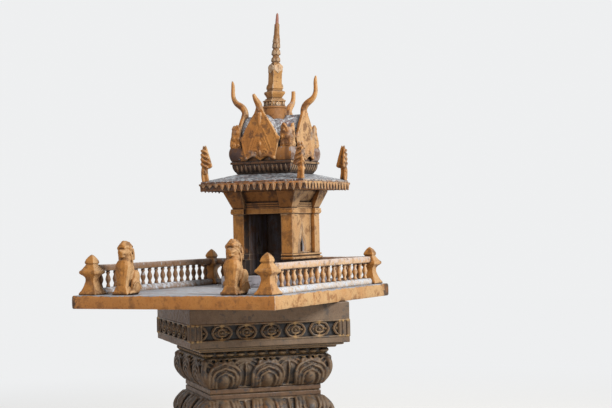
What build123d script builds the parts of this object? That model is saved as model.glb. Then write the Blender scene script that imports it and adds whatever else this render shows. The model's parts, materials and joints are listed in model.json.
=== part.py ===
from build123d import *
import math
import os

# Spirit house on a carved pedestal. Millimetres, +Z up, the house front faces -Y.
# The origin is the middle of the pedestal's underside.

# Driving dimensions: pedestal
PED_YAW = 43.3            # the pedestal stands turned under the platform
PLINTH_HALF = 335.0
PLINTH_STEP_HALF = 310.0
PLINTH_H, PLINTH_STEP_H = 60.0, 40.0
BLOCK_HALF = 290.0
BLOCK_BAND_H, BLOCK_FRIEZE_H, BLOCK_FRAME_H = 64.0, 57.0, 23.0
FRIEZE_RECESS, FRIEZE_FRAME = 12.0, 43.0
STEP_HALVES, STEP_H = (272.0, 251.0), 9.0
BEAD_CORE_HALF, BEAD_OUT, BEAD_W, BEAD_H, BEADS = 227.0, 9.0, 25.0, 22.0, 12
LOTUS_H, LOTUS_TOP_HALF, LOTUS_MID_HALF, LOTUS_FOOT_HALF = 112.0, 220.0, 238.0, 199.0
SHOULDER_HALF, SHOULDER_DROP = 244.0, 46.0   # the overturned lower bell has a bolder shoulder
WAIST_HALF, WAIST_H, WAIST_GROOVE = 204.0, 38.0, 3.0
ROSETTE_R, ROSETTE_PITCH, ROSETTES = 25.0, 88.4, 5

# Driving dimensions: platform
PLAT_X, PLAT_Y = -17.0, -61.0
PLAT_W, PLAT_L, PLAT_T = 800.0, 940.0, 47.0
POST_INSET = 52.0
POST_H = 149.0
POST_BASE_HALF, POST_SHAFT_HALF, POST_CAP_HALF, POST_NECK_HALF, POST_BUD_HALF = 36.0, 20.5, 33.0, 18.5, 21.0
RAIL_LOW, RAIL_H, RAIL_W = 82.0, 22.0, 30.0
CURB_W, CURB_TOP_W, CURB_H = 44.0, 26.0, 22.0
BALUSTER_PITCH, BALUSTER_R = 45.0, 9.0

# Driving dimensions: house, measured up from the platform's top
HOUSE_OFF, HOUSE_GAP, HOUSE_YAW = 33.0, 5.0, 1.5   # off the middle line, off the back curb, turned
BODY_HALF = 123.0
BASE_OUT, BASE_H, BASE_BACK = 36.0, 42.0, 1.0
DADO_IN, DADO_H = 10.0, 60.0               # in or out from the piers' faces, and height
BAND_OUT, BAND_H = 8.0, 21.0
PIER, WALL_T, WALL_H = 45.0, 27.0, 151.0
CAPITAL_OUT, CAPITAL_H = 6.0, 19.0
REED_OUT, REED_H, REED_GAP = 8.0, 6.0, 2.0
COVE_OUT, COVE_H = 26.0, 63.0
CORNICE_RECESS = 17.0      # the cornice steps back between the corner consoles
SOFFIT_OUT, SOFFIT_H = 47.0, 19.0
EAVES_X, EAVES_Y, FASCIA_H = 43.0, 36.0, 22.0      # the eaves reach past the soffit
ROOF_HEAD_OUT, ROOF_RISE = 8.0, 27.0
WINDOW_SUNK, WINDOW_H, WINDOW_HALF = 3.0, 90.0, 19.0   # the foot is hidden behind the band

# Driving dimensions: roof ornaments, tier and spire
PETAL_T, PETAL_BAND_H, PETAL_H = 6.0, 8.0, 27.0
PETALS_X, PETALS_Y = 16, 15
PETAL_UNDER = 7.0          # the petals start this far under the roof edge
FLAME_T, FLAME_INSET, FLAME_SIDE = 12.0, 3.0, 0.6   # the wing on the side faces is narrower
FLAME = [                  # (in from the corner, level above the fascia) round one wing
    (2.0, -8.0), (30.0, -8.0), (28.0, 30.0), (26.0, 48.0), (34.0, 53.0), (47.0, 58.0), (44.0, 74.0), (36.0, 92.0),
    (26.0, 112.0), (12.0, 142.0), (3.0, 126.0), (0.0, 100.0), (-1.0, 55.0), (1.0, 25.0),
]
BOWL_FOOT_HALF, BOWL_H = 104.0, 38.0       # the petalled bowl is as wide above as the hull's foot
LEDGE_OUT, LEDGE_H = 4.0, 8.0
HULL_FOOT_HALF, HULL_HEAD_HALF, HULL_H = 122.0, 127.0, 52.0
GABLE_T, GABLE_OUT = 14.0, 6.0             # the gables stand proud of the hull's head
GABLE_FLANK = [            # (half width, height above the ledge) up the leaf
    (60.0, 0.0), (74.0, 60.0), (86.0, 87.0), (71.0, 99.0), (42.0, 149.0), (17.0, 185.0), (9.0, 198.0),
]
VAULT_HALF, VAULT_H = 58.0, 126.0
CROWN_FOOT_HALF, CROWN_HALF, CROWN_H = 112.0, 46.0, 110.0
CORNER_FLAME_H, CORNER_FLAME_W, CORNER_FLAME_T = 96.0, 52.0, 13.0
DRUM = [(50.0, 0.0), (46.0, 42.0), (49.0, 44.0), (49.0, 50.0)]   # (radius, height) from the crown's top up
TOWER_YAW = 57.0           # the square tower was set askew on its round drum
TOWER = [                  # (half, height) from the drum up
    (31.5, 0.0), (32.5, 23.0), (27.0, 24.0), (26.0, 30.0), (20.5, 32.0), (28.0, 48.0), (29.0, 49.0),
    (29.0, 57.0), (21.5, 59.0), (21.5, 69.0),
]
SHAFT = [                  # (half, height) from the tower's tiers up
    (23.5, 0.0), (19.5, 14.0), (19.0, 61.0), (21.0, 63.0), (21.0, 83.0), (19.0, 85.0), (13.0, 94.0),
]
SPIRE = [                  # (radius, height) from the shaft up, a turned finial
    (13.0, 0.0), (16.0, 7.0), (16.0, 19.0), (12.5, 23.0), (15.0, 29.0), (15.0, 43.0),
    (11.5, 47.0), (14.0, 52.0), (12.5, 99.0), (10.5, 113.0), (9.5, 147.0), (6.5, 149.0), (4.0, 196.0),
]
LEAN_X, LEAN_Y = 0.0497, 0.0246   # the tower has settled to one side: shift per mm of height
HORN_T = 15.0
HORN_CUT = {"front": 66.0, "right": 124.0, "back": 95.0, "left": 124.0}   # the front and back tips are lost

# Driving dimensions: guardian lions
LION_INSET_X, LION_INSET_Y, LION_H = 185.0, 68.0, 190.0   # in from the platform edges

# Levels that follow from the sizes above
BLOCK_H = BLOCK_BAND_H + BLOCK_FRIEZE_H + BLOCK_FRAME_H
PLINTH_TOP = PLINTH_H + PLINTH_STEP_H
STEPS_H = STEP_H * len(STEP_HALVES) + BEAD_H
BASE_STEPS = PLINTH_TOP + BLOCK_H
BASE_LOTUS = BASE_STEPS + STEPS_H
WAIST = BASE_LOTUS + LOTUS_H
TOP_LOTUS = WAIST + WAIST_H
TOP_STEPS = TOP_LOTUS + LOTUS_H
TOP_BLOCK = TOP_STEPS + STEPS_H
SLAB = TOP_BLOCK + BLOCK_H
DECK = SLAB + PLAT_T
HOUSE_X = PLAT_X + HOUSE_OFF
DADO_HALF, BAND_HALF, CAPITAL_HALF = BODY_HALF - DADO_IN, BODY_HALF + BAND_OUT, BODY_HALF + CAPITAL_OUT
REED_HALF, COVE_HEAD_HALF, SOFFIT_HALF = BODY_HALF + REED_OUT, BODY_HALF + COVE_OUT, BODY_HALF + SOFFIT_OUT
ROOF_X, ROOF_Y, ROOF_HEAD_HALF = SOFFIT_HALF + EAVES_X, SOFFIT_HALF + EAVES_Y, BOWL_FOOT_HALF + ROOF_HEAD_OUT
DADO_TOP = BASE_H + DADO_H
BAND_TOP = DADO_TOP + BAND_H
WALL_TOP = BAND_TOP + WALL_H
CAPITAL_TOP = WALL_TOP + CAPITAL_H
COVE_TOP = CAPITAL_TOP + COVE_H
SOFFIT_TOP = COVE_TOP + SOFFIT_H
FASCIA_TOP = SOFFIT_TOP + FASCIA_H
ROOF_HEAD = FASCIA_TOP + ROOF_RISE
BOWL_TOP = ROOF_HEAD + BOWL_H
LEDGE_HALF, LEDGE_TOP = HULL_FOOT_HALF + LEDGE_OUT, BOWL_TOP + LEDGE_H
HULL_TOP = LEDGE_TOP + HULL_H
GABLE_FACE, GABLE_TOP = HULL_HEAD_HALF + GABLE_OUT, LEDGE_TOP + GABLE_FLANK[-1][1]
RIDGE, CROWN_TOP = HULL_TOP + VAULT_H, HULL_TOP + CROWN_H
DRUM_TOP = CROWN_TOP + DRUM[-1][1]
TOWER_TOP = DRUM_TOP + TOWER[-1][1]
SHAFT_TOP = TOWER_TOP + SHAFT[-1][1]
HOUSE_Y = PLAT_Y + PLAT_L / 2 - POST_INSET - CURB_W / 2 - HOUSE_GAP - BAND_HALF - BASE_BACK
LION_X, LION_Y = PLAT_W / 2 - LION_INSET_X, PLAT_L / 2 - LION_INSET_Y
DOOR_HALF = BODY_HALF - PIER   # the doorway and the room are as wide as the space between the piers
WALL_OUT = DOOR_HALF + WALL_T
WINDOW_LOW = BAND_TOP - WINDOW_SUNK
FAR = 2000.0

parts = {}


def box(x0, x1, y0, y1, z0, z1):
    """A box from its limits."""
    return Pos((x0 + x1) / 2, (y0 + y1) / 2, (z0 + z1) / 2) * Box(x1 - x0, y1 - y0, z1 - z0)


def square(half, z0, z1):
    """A square slab centred on the axis."""
    return box(-half, half, -half, half, z0, z1)


def flank(points):
    """Edges up one flank; a point with four numbers ends an arc through its last two."""
    edges = []
    for a, b in zip(points, points[1:]):
        if len(b) == 4:
            edges.append(ThreePointArc(a[:2], b[2:], b[:2]))
        else:
            edges.append(Line(a[:2], b[:2]))
    return edges


def mirrored(points):
    """The same flank on the other side of the middle."""
    return [(-p[0], p[1]) if len(p) == 2 else (-p[0], p[1], -p[2], p[3]) for p in points]


def outline(points, plane):
    """A face with the given right flank, mirrored about the middle."""
    edges = flank(points) + flank(mirrored(points))
    edges.append(Line((-points[0][0], points[0][1]), points[0][:2]))
    if abs(points[-1][0]) > 1e-6:
        edges.append(Line((-points[-1][0], points[-1][1]), points[-1][:2]))
    return plane * make_face(edges)


def moulded(points_x, points_y=None):
    """A four-sided form whose section along X and along Y is given by flank points."""
    along_y = extrude(outline(points_x, Plane.XZ), amount=FAR, both=True)
    along_x = extrude(outline(points_y or points_x, Plane.YZ), amount=FAR, both=True)
    return along_y & along_x


def across(sketch, near, far):
    """A plate facing -Y, from the level y = -near out to y = -far."""
    return Pos(0, -(near + far) / 2, 0) * extrude(Plane.XZ * sketch, amount=(far - near) / 2, both=True)


def faceted(rings, sides, skewed=False):
    """A many-sided solid from rings (z, rx, ry, cx, cy) going up; skewed rings get three-sided faces."""
    loops = []
    for z0, rx, ry, cx, cy in rings:
        angles = [2 * math.pi * (i + 0.5) / sides for i in range(sides)]
        loops.append([(cx + rx * math.cos(a), cy + ry * math.sin(a), z0) for a in angles])
    faces = []
    for low, high in zip(loops, loops[1:]):
        for i in range(sides):
            j = (i + 1) % sides
            quad = [low[i], low[j], high[j], high[i]]
            faces += [quad[:3], [quad[0], quad[2], quad[3]]] if skewed else [quad]
    faces += [loops[0], loops[-1]]
    return Solid(Shell([Face(Wire.make_polygon(f, close=True)) for f in faces]))


def placed_ped(shape):
    return Rot(0, 0, PED_YAW) * shape


def placed_plat(shape):
    return Pos(PLAT_X, PLAT_Y, DECK) * shape


def placed_house(shape):
    return Pos(HOUSE_X, HOUSE_Y, DECK) * Rot(0, 0, HOUSE_YAW) * shape


def pedestal_block(z, frieze_z):
    """A square block with a sunk frieze on each face."""
    block = square(BLOCK_HALF, z, z + BLOCK_H)
    reach = BLOCK_HALF - FRIEZE_FRAME
    for k in range(4):
        sunk = box(-reach, reach, BLOCK_HALF - FRIEZE_RECESS, BLOCK_HALF + 5, frieze_z, frieze_z + BLOCK_FRIEZE_H)
        block -= Rot(0, 0, 90 * k) * sunk
    return block


def rosettes(frieze_z):
    """Stepped bosses along the sunk frieze, with a cut one against each corner frame."""
    face = BLOCK_HALF - FRIEZE_RECESS
    reach = BLOCK_HALF - FRIEZE_FRAME
    mid = frieze_z + BLOCK_FRIEZE_H / 2
    row = []
    count = ROSETTES + 2
    for i in range(count):
        x = (i - (count - 1) / 2) * ROSETTE_PITCH
        flower = across(RegularPolygon(ROSETTE_R, 8), 0, FRIEZE_RECESS * 0.6)
        heart = across(RegularPolygon(ROSETTE_R * 0.42, 8), 0, FRIEZE_RECESS)
        row.append(Pos(x, -face, mid) * (flower + heart))
    if count * ROSETTE_PITCH > 2 * reach:
        limit = box(-reach, reach, -BLOCK_HALF, -face, frieze_z, frieze_z + BLOCK_FRIEZE_H)
        row = [s for r in row for s in (r & limit).solids()]
    return Compound([Rot(0, 0, 90 * k) * s for k in range(4) for s in row])


def bead_course(z):
    """A square core with a row of beads on each face."""
    core = square(BEAD_CORE_HALF, z, z + BEAD_H)
    pitch = 2 * BEAD_CORE_HALF / BEADS
    far = BEAD_CORE_HALF + BEAD_OUT
    beads = []
    for i in range(BEADS):
        x = (i - (BEADS - 1) / 2) * pitch
        bead = box(x - BEAD_W / 2, x + BEAD_W / 2, -far, 1 - BEAD_CORE_HALF, z + 2, z + BEAD_H - 2)
        beads += [Rot(0, 0, 90 * k) * bead for k in range(4)]
    return core + beads


def steps(z, upward):
    """Two square steps and the bead course, widening upward or downward."""
    wide, narrow = STEP_HALVES
    if upward:
        return (bead_course(z) + square(narrow, z + BEAD_H, z + BEAD_H + STEP_H)
                + square(wide, z + BEAD_H + STEP_H, z + STEPS_H))
    return (square(wide, z, z + STEP_H) + square(narrow, z + STEP_H, z + 2 * STEP_H)
            + bead_course(z + 2 * STEP_H))


def lotus(z, upward):
    """The lotus bell, its narrow end towards the waist."""
    if upward:
        return moulded([(LOTUS_FOOT_HALF, z), (LOTUS_TOP_HALF, z + LOTUS_H, LOTUS_MID_HALF, z + LOTUS_H * 0.6)])
    shoulder = z + LOTUS_H - SHOULDER_DROP
    return moulded([(LOTUS_TOP_HALF + 8, z), (SHOULDER_HALF, shoulder),
                    (LOTUS_FOOT_HALF + 4, z + LOTUS_H, SHOULDER_HALF - 9, shoulder + SHOULDER_DROP * 0.62)])


# Pedestal
parts["ground_plinth"] = placed_ped(square(PLINTH_HALF, 0, PLINTH_H) + square(PLINTH_STEP_HALF, PLINTH_H, PLINTH_TOP))
base_frieze = PLINTH_TOP + BLOCK_BAND_H
top_frieze = TOP_BLOCK + BLOCK_FRAME_H
parts["pedestal_base_block"] = placed_ped(pedestal_block(PLINTH_TOP, base_frieze))
parts["base_rosettes"] = placed_ped(rosettes(base_frieze))
parts["pedestal_base_steps"] = placed_ped(steps(BASE_STEPS, False))
parts["pedestal_base_lotus"] = placed_ped(lotus(BASE_LOTUS, False))
waist = square(WAIST_HALF, WAIST, WAIST + WAIST_H)
groove = square(FAR, WAIST + (WAIST_H - WAIST_GROOVE) / 2, WAIST + (WAIST_H + WAIST_GROOVE) / 2)
parts["pedestal_waist"] = placed_ped(waist - (groove - square(WAIST_HALF - WAIST_GROOVE * 2, 0, FAR)))
parts["pedestal_top_lotus"] = placed_ped(lotus(TOP_LOTUS, True))
parts["pedestal_top_steps"] = placed_ped(steps(TOP_STEPS, True))
parts["pedestal_top_block"] = placed_ped(pedestal_block(TOP_BLOCK, top_frieze))
parts["top_rosettes"] = placed_ped(rosettes(top_frieze))

# Platform slab and its corner posts
parts["platform_slab"] = placed_plat(box(-PLAT_W / 2, PLAT_W / 2, -PLAT_L / 2, PLAT_L / 2, -PLAT_T, 0))
post_profile = [
    (POST_BASE_HALF, 0), (POST_BASE_HALF, 4), (POST_SHAFT_HALF + 8, 20), (POST_SHAFT_HALF + 2, 36),
    (POST_SHAFT_HALF, 50), (POST_SHAFT_HALF, 61), (POST_SHAFT_HALF + 4, 68), (POST_CAP_HALF, 80),
    (POST_CAP_HALF, 88), (POST_SHAFT_HALF + 3, 97), (POST_NECK_HALF, 108), (POST_BUD_HALF, 114),
    (POST_BUD_HALF, 121), (POST_BUD_HALF - 8, 139), (5.0, POST_H),
]
post = moulded(post_profile)
post_x, post_y = PLAT_W / 2 - POST_INSET, PLAT_L / 2 - POST_INSET
corners = [(sx * post_x, sy * post_y) for sx in (-1, 1) for sy in (-1, 1)]
parts["corner_posts"] = placed_plat(Compound([Pos(x, y, 0) * post for x, y in corners]))


def balustrade(length):
    """One side along X between two posts centred at its ends: curb, balusters and rail."""
    curb_face = Plane.YZ * Pos(0, CURB_H / 2) * Polygon(
        (-CURB_W / 2, -CURB_H / 2), (CURB_W / 2, -CURB_H / 2), (CURB_W / 2, 2), (CURB_TOP_W / 2, CURB_H / 2),
        (-CURB_TOP_W / 2, CURB_H / 2), (-CURB_W / 2, 2), align=None)
    side = extrude(curb_face, amount=length / 2, both=True)
    side += box(-length / 2, length / 2, -RAIL_W / 2, RAIL_W / 2, RAIL_LOW, RAIL_LOW + RAIL_H)
    clear = length - 2 * POST_BASE_HALF
    count = round(clear / BALUSTER_PITCH)
    pitch = clear / count
    rise = RAIL_LOW - CURB_H
    rings = [(0.0, 0.72), (0.36, 1.0), (0.60, 0.6), (0.85, 0.5), (1.0, 0.8)]
    baluster = faceted([(CURB_H - 1 + (rise + 2) * t, BALUSTER_R * r, BALUSTER_R * r, 0, 0) for t, r in rings], 6)
    side += [Pos((i - (count - 1) / 2) * pitch, 0, 0) * baluster for i in range(count)]
    for x in (-length / 2, length / 2):
        side -= Pos(x, 0, 0) * post
        side -= box(x - POST_NECK_HALF, x + POST_NECK_HALF, -CURB_W, CURB_W, 0, POST_H)
    return side.solids().sort_by(SortBy.VOLUME)[-1]


side_run = Rot(0, 0, 90) * balustrade(2 * post_y)
parts["balustrade_left"] = placed_plat(Pos(-post_x, 0, 0) * side_run)
parts["balustrade_right"] = placed_plat(Pos(post_x, 0, 0) * side_run)
parts["balustrade_back"] = placed_plat(Pos(0, post_y, 0) * balustrade(2 * post_x))


def tapered(x0, x1, y0, y1, z0, z1, inset):
    """A block that narrows by the same inset on all four sides."""
    wide = Plane.XZ * Polygon((x0, z0), (x1, z0), (x1 - inset, z1), (x0 + inset, z1), align=None)
    deep = Plane.YZ * Polygon((y0, z0), (y1, z0), (y1 - inset, z1), (y0 + inset, z1), align=None)
    return extrude(wide, amount=FAR, both=True) & extrude(deep, amount=FAR, both=True)


def lion():
    """A seated guardian: base, haunches, upright chest, head with a pointed mane and crown."""
    body = tapered(-36, 36, -44, -8, 0, 21, 9)
    legs = faceted([
        (19, 20, 10, 0, -26), (60, 19, 11, 0, -24), (96, 26, 18, 0, -16), (122, 25, 20, 0, -8)], 8, True)
    back = faceted([
        (0, 30, 30, 0, 12), (30, 32, 30, 0, 12), (62, 29, 27, 0, 8), (100, 26, 24, 0, 0),
        (134, 21, 20, 0, -4)], 8, True)
    head = faceted([(110, 17, 15, 0, -10), (122, 25, 23, 0, -8), (146, 27, 25, 0, -6), (164, 22, 21, 0, -3),
                    (180, 12, 12, 0, 0), (LION_H, 4, 4, 0, 1)], 8, True)
    muzzle = tapered(-13, 13, -40, -16, 121, 150, 4)
    body += [legs, back, head, muzzle]
    for side in (-1, 1):
        haunch = faceted([
            (0, 12, 26, side * 28, 10), (28, 14, 27, side * 28, 12), (54, 11, 19, side * 27, 15),
            (70, 5, 8, side * 25, 17)], 8, True)
        body += [haunch, tapered(side * 27 - 12, side * 27 + 12, -32, 0, 0, 14, 4)]
    return body


guard = lion()
parts["lion_left"] = placed_plat(Pos(-LION_X, -LION_Y, 0) * guard)
parts["lion_right"] = placed_plat(Pos(LION_X, -LION_Y, 0) * guard)

# House body: plinth, dado, moulded band, corner piers, thin walls, capital slab
base_half = BODY_HALF + BASE_OUT
parts["house_plinth"] = placed_house(box(-base_half, base_half, -base_half, BAND_HALF + BASE_BACK, 0, BASE_H))
for name, half, z0, z1 in (("dado", DADO_HALF, BASE_H, DADO_TOP), ("base_band", BAND_HALF, DADO_TOP, BAND_TOP)):
    parts[name + "_left"] = placed_house(box(-half, -DOOR_HALF, -half, half, z0, z1))
    parts[name + "_right"] = placed_house(box(DOOR_HALF, half, -half, half, z0, z1))
    parts[name + "_back"] = placed_house(box(-DOOR_HALF, DOOR_HALF, DOOR_HALF, half, z0, z1))

pier = box(DOOR_HALF, BODY_HALF, DOOR_HALF, BODY_HALF, BAND_TOP, WALL_TOP)
parts["corner_piers"] = placed_house(Compound([Rot(0, 0, turn) * pier for turn in (0, 90, 180, 270)]))

window = outline([
    (WINDOW_HALF * 0.7, WINDOW_LOW),
    (WINDOW_HALF * 0.55, WINDOW_LOW + WINDOW_H * 0.55, WINDOW_HALF, WINDOW_LOW + WINDOW_H * 0.3),
    (0, WINDOW_LOW + WINDOW_H, WINDOW_HALF * 0.12, WINDOW_LOW + WINDOW_H * 0.8),
], Plane.YZ)
slit = extrude(window, amount=FAR / 2, both=True)
for name, x0, x1 in (("left", -WALL_OUT, -DOOR_HALF), ("right", DOOR_HALF, WALL_OUT)):
    parts["wall_" + name] = placed_house(box(x0, x1, -DOOR_HALF, DOOR_HALF, BAND_TOP, WALL_TOP) - slit)
parts["wall_back"] = placed_house(box(-DOOR_HALF, DOOR_HALF, DOOR_HALF, WALL_OUT, BAND_TOP, WALL_TOP))
console_in = DOOR_HALF - 4
console = box(console_in, FAR, console_in, FAR, 0, FAR)
consoles = Compound([Rot(0, 0, 90 * k) * console for k in range(4)])
slab_core = square(CAPITAL_HALF - CORNICE_RECESS, WALL_TOP, CAPITAL_TOP)
parts["capital_slab"] = placed_house(slab_core + (square(CAPITAL_HALF, WALL_TOP, CAPITAL_TOP) & consoles))


def cornice(back, reeds):
    """A straight flare set back by the given amount, over the given number of reeds, under the soffit step."""
    level = CAPITAL_TOP
    foot, head, reed = BODY_HALF - back, COVE_HEAD_HALF - back, REED_HALF - back
    points = []
    for i in range(reeds):
        points += [(reed, level), (reed, level + REED_H), (reed - 4, level + REED_H)]
        level += REED_H + REED_GAP
        points.append((reed - 4, level))
    points += [(foot, level), (head, COVE_TOP), (head, COVE_TOP + 5), (SOFFIT_HALF, COVE_TOP + 8)]
    return moulded(points + [(SOFFIT_HALF, SOFFIT_TOP)])


parts["cornice"] = placed_house(cornice(CORNICE_RECESS, 3) + (cornice(0, 0) & consoles))

# Eaves roof with its low slope, and the hanging petals round its edge
roof_x = [(ROOF_X, SOFFIT_TOP), (ROOF_X, FASCIA_TOP), (ROOF_HEAD_HALF, ROOF_HEAD)]
roof_y = [(ROOF_Y, SOFFIT_TOP), (ROOF_Y, FASCIA_TOP), (ROOF_HEAD_HALF, ROOF_HEAD)]
parts["eaves_roof"] = placed_house(moulded(roof_x, roof_y))


def petal_strip(length, count, face, z_top):
    """A band with a row of pointed petals hanging from it, on the side facing -Y."""
    low = z_top - PETAL_BAND_H
    pitch = length / count
    points = [(-length / 2, z_top), (length / 2, z_top), (length / 2, low)]
    for i in range(count):
        x = length / 2 - i * pitch
        points += [(x - pitch * 0.1, low - PETAL_H * 0.45), (x - pitch / 2, low - PETAL_H),
                   (x - pitch * 0.9, low - PETAL_H * 0.45), (x - pitch, low)]
    return across(Polygon(*points, align=None), face, face + PETAL_T)


fringe_top = FASCIA_TOP - PETAL_UNDER
front_strip = petal_strip(2 * (ROOF_X + PETAL_T), PETALS_X, ROOF_Y, fringe_top)
side_strip = Rot(0, 0, 90) * petal_strip(2 * ROOF_Y, PETALS_Y, ROOF_X, fringe_top)
fringe = front_strip + Rot(0, 0, 180) * front_strip + side_strip + Rot(0, 0, 180) * side_strip
parts["petal_fringe"] = placed_house(fringe)

# Corner flames on the eaves: two hooked wings that meet over each corner, one along each fascia
front_wing = across(Polygon(*[(-x, level) for x, level in FLAME], align=None), -FLAME_T, 0)
side_wing = across(Polygon(*[(x * FLAME_SIDE, level) for x, level in FLAME], align=None), -FLAME_T, 0)
flame = front_wing + Rot(0, 0, 90) * side_wing
corner_x, corner_y = ROOF_X - FLAME_INSET, ROOF_Y - FLAME_INSET
flame = Pos(corner_x, -corner_y, FASCIA_TOP) * flame - moulded(roof_x, roof_y)
front_flames = [flame, mirror(flame, Plane.YZ)]
parts["eaves_flames"] = placed_house(Compound(front_flames + [mirror(each, Plane.XZ) for each in front_flames]))

# Upper tier: petalled foot, ledge and flared hull
parts["tier_foot"] = placed_house(moulded([
    (BOWL_FOOT_HALF, ROOF_HEAD), (HULL_FOOT_HALF, BOWL_TOP, BOWL_FOOT_HALF + 14, ROOF_HEAD + 16),
    (LEDGE_HALF, BOWL_TOP), (LEDGE_HALF, LEDGE_TOP)]))

# Four leaf-shaped gables, one on each side of the tier
gable_face = outline([(half, LEDGE_TOP + height) for half, height in GABLE_FLANK], Plane.XY)
gable = across(gable_face, GABLE_FACE - GABLE_T, GABLE_FACE)
turns = {"front": 0, "right": 90, "back": 180, "left": 270}
gables = {name: Rot(0, 0, turn) * gable for name, turn in turns.items()}
for name, plate in gables.items():
    parts["gable_" + name] = placed_house(plate)

hull = moulded([(HULL_FOOT_HALF, LEDGE_TOP), (HULL_HEAD_HALF, HULL_TOP, HULL_FOOT_HALF + 8, LEDGE_TOP + 22)])
for plate in gables.values():
    hull -= plate
parts["tier_hull"] = placed_house(hull)

# Two crossing vaults behind the gables, and the hipped crown between them
vault_mid = (VAULT_HALF * 0.72, HULL_TOP + (RIDGE - HULL_TOP) * 0.62)
vault_face = outline([(VAULT_HALF, HULL_TOP), (0, RIDGE, *vault_mid)], Plane.XZ)
vault = extrude(vault_face, amount=GABLE_FACE - GABLE_T, both=True)
crown = moulded([(CROWN_FOOT_HALF, HULL_TOP), (CROWN_HALF, CROWN_TOP)])
tier_roof = crown + vault + Rot(0, 0, 90) * vault
tier_roof -= faceted([(CROWN_TOP, DRUM[0][0], DRUM[0][0], 0, 0), (FAR, DRUM[0][0], DRUM[0][0], 0, 0)], 16)
parts["tier_roof"] = placed_house(tier_roof)

# Carved corner flames: two wings that meet over each corner of the hull
wing_points = [
    (0, 0), (0, 40), (10, 62), (14, CORNER_FLAME_H), (28, 70), (34, 74), (40, 44), (47, 46), (CORNER_FLAME_W, 0),
]
wing = across(Polygon(*wing_points, align=None), HULL_HEAD_HALF - CORNER_FLAME_T, HULL_HEAD_HALF)
wing = Pos(-HULL_HEAD_HALF, 0, HULL_TOP) * wing
corner_flame = wing + mirror(wing, Plane((0, 0, 0), x_dir=(0, 0, 1), z_dir=(1, -1, 0)))
for plate in gables.values():
    corner_flame -= plate
parts["tier_flames"] = placed_house(Compound([Rot(0, 0, turn) * corner_flame for turn in turns.values()]))

# Horn finials on the gables: blades that lean out, curve back and end in a point
horn_points = [
    (-GABLE_T, 0), (8, 0), (24, 8), (40, 20), (56, 36), (64, 54), (65, 80), (63, 104), (59, 124),
    (54, 118), (50, 100), (50, 64), (44, 50), (33, 40), (18, 30), (4, 18), (-8, 8),
]
horn_face = Plane.YZ * Polygon(*[(-a, b) for a, b in horn_points], align=None)
horn = Pos(0, -GABLE_FACE, GABLE_TOP) * extrude(horn_face, amount=HORN_T / 2, both=True)
horns = []
for name, turn in turns.items():
    horns.append(Rot(0, 0, turn) * (horn & square(FAR, 0, GABLE_TOP + HORN_CUT[name])))
parts["gable_horns"] = placed_house(Compound(horns))

# A round drum, then the square tower and the turned spire, which lean the same way
def leaning(profile, foot, sides, turn):
    """A many-sided stack from (half, height) steps above its foot, each level shifted by the lean."""
    reach = 1 / math.cos(math.pi / sides)
    cos, sin = math.cos(math.radians(turn)), math.sin(math.radians(turn))
    rings = []
    for half, height in profile:
        level = foot + height
        x, y = LEAN_X * (level - DRUM_TOP), LEAN_Y * (level - DRUM_TOP)
        rings.append((level, half * reach, half * reach, x * cos + y * sin, y * cos - x * sin))
    return placed_house(Rot(0, 0, turn) * faceted(rings, sides))


drum = placed_house(faceted([(CROWN_TOP + height, r, r, 0, 0) for r, height in DRUM], 16))
parts["tower_tiers"] = drum + leaning(TOWER, DRUM_TOP, 4, TOWER_YAW)
parts["tower_shaft"] = leaning(SHAFT, TOWER_TOP, 4, TOWER_YAW)
parts["spire"] = leaning(SPIRE, SHAFT_TOP, 16, 0)

os.makedirs("parts", exist_ok=True)
for name, shape in parts.items():
    export_step(shape, "parts/" + name + ".step")
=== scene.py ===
# %% [markdown]
# # A cast spirit house on a carved pedestal
# The real thing is a small garden shrine, cast in concrete pieces and painted: gold for the
# house, a dark bronze brown for the carved pedestal. Sun and rain have worn the paint, so
# grey concrete shows on ledges and along edges, and dirt sits in the hollows.
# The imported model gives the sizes. Everything here is dressed over it in the same frame.

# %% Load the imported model
import json
import math
from functools import partial

import bmesh
import bpy
from mathutils import Matrix, Vector, noise


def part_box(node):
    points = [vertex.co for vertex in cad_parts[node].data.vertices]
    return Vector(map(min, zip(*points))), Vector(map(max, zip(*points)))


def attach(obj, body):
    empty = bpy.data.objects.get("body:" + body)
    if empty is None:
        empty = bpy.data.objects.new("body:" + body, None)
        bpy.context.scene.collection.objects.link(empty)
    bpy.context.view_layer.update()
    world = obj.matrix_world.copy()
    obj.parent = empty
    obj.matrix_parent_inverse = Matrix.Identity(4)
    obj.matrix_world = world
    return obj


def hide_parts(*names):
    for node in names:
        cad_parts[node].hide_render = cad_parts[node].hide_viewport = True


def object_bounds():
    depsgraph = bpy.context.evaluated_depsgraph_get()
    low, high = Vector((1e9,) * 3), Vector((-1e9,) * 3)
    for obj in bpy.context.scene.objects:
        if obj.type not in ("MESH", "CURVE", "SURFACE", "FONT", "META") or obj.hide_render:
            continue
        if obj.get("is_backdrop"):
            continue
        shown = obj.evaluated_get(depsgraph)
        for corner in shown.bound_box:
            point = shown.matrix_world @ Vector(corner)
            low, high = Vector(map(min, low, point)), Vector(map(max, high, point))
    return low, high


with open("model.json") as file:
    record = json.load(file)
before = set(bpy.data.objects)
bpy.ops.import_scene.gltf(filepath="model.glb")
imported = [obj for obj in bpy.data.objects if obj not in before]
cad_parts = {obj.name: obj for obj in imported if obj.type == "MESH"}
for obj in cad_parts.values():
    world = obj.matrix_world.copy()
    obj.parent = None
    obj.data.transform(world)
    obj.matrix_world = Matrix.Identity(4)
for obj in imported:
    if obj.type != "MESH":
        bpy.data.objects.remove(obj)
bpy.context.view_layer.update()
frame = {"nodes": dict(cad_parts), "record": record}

nodes = frame["nodes"]

# %% [markdown]
# ## Three places to build in
# A mould maker works on a level bench, and so does this script. Each piece is modelled in
# millimetres about its own middle, and one matrix then carries it to the pedestal, which
# stands turned, to the platform, or to the house, which stands a little askew.

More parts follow.
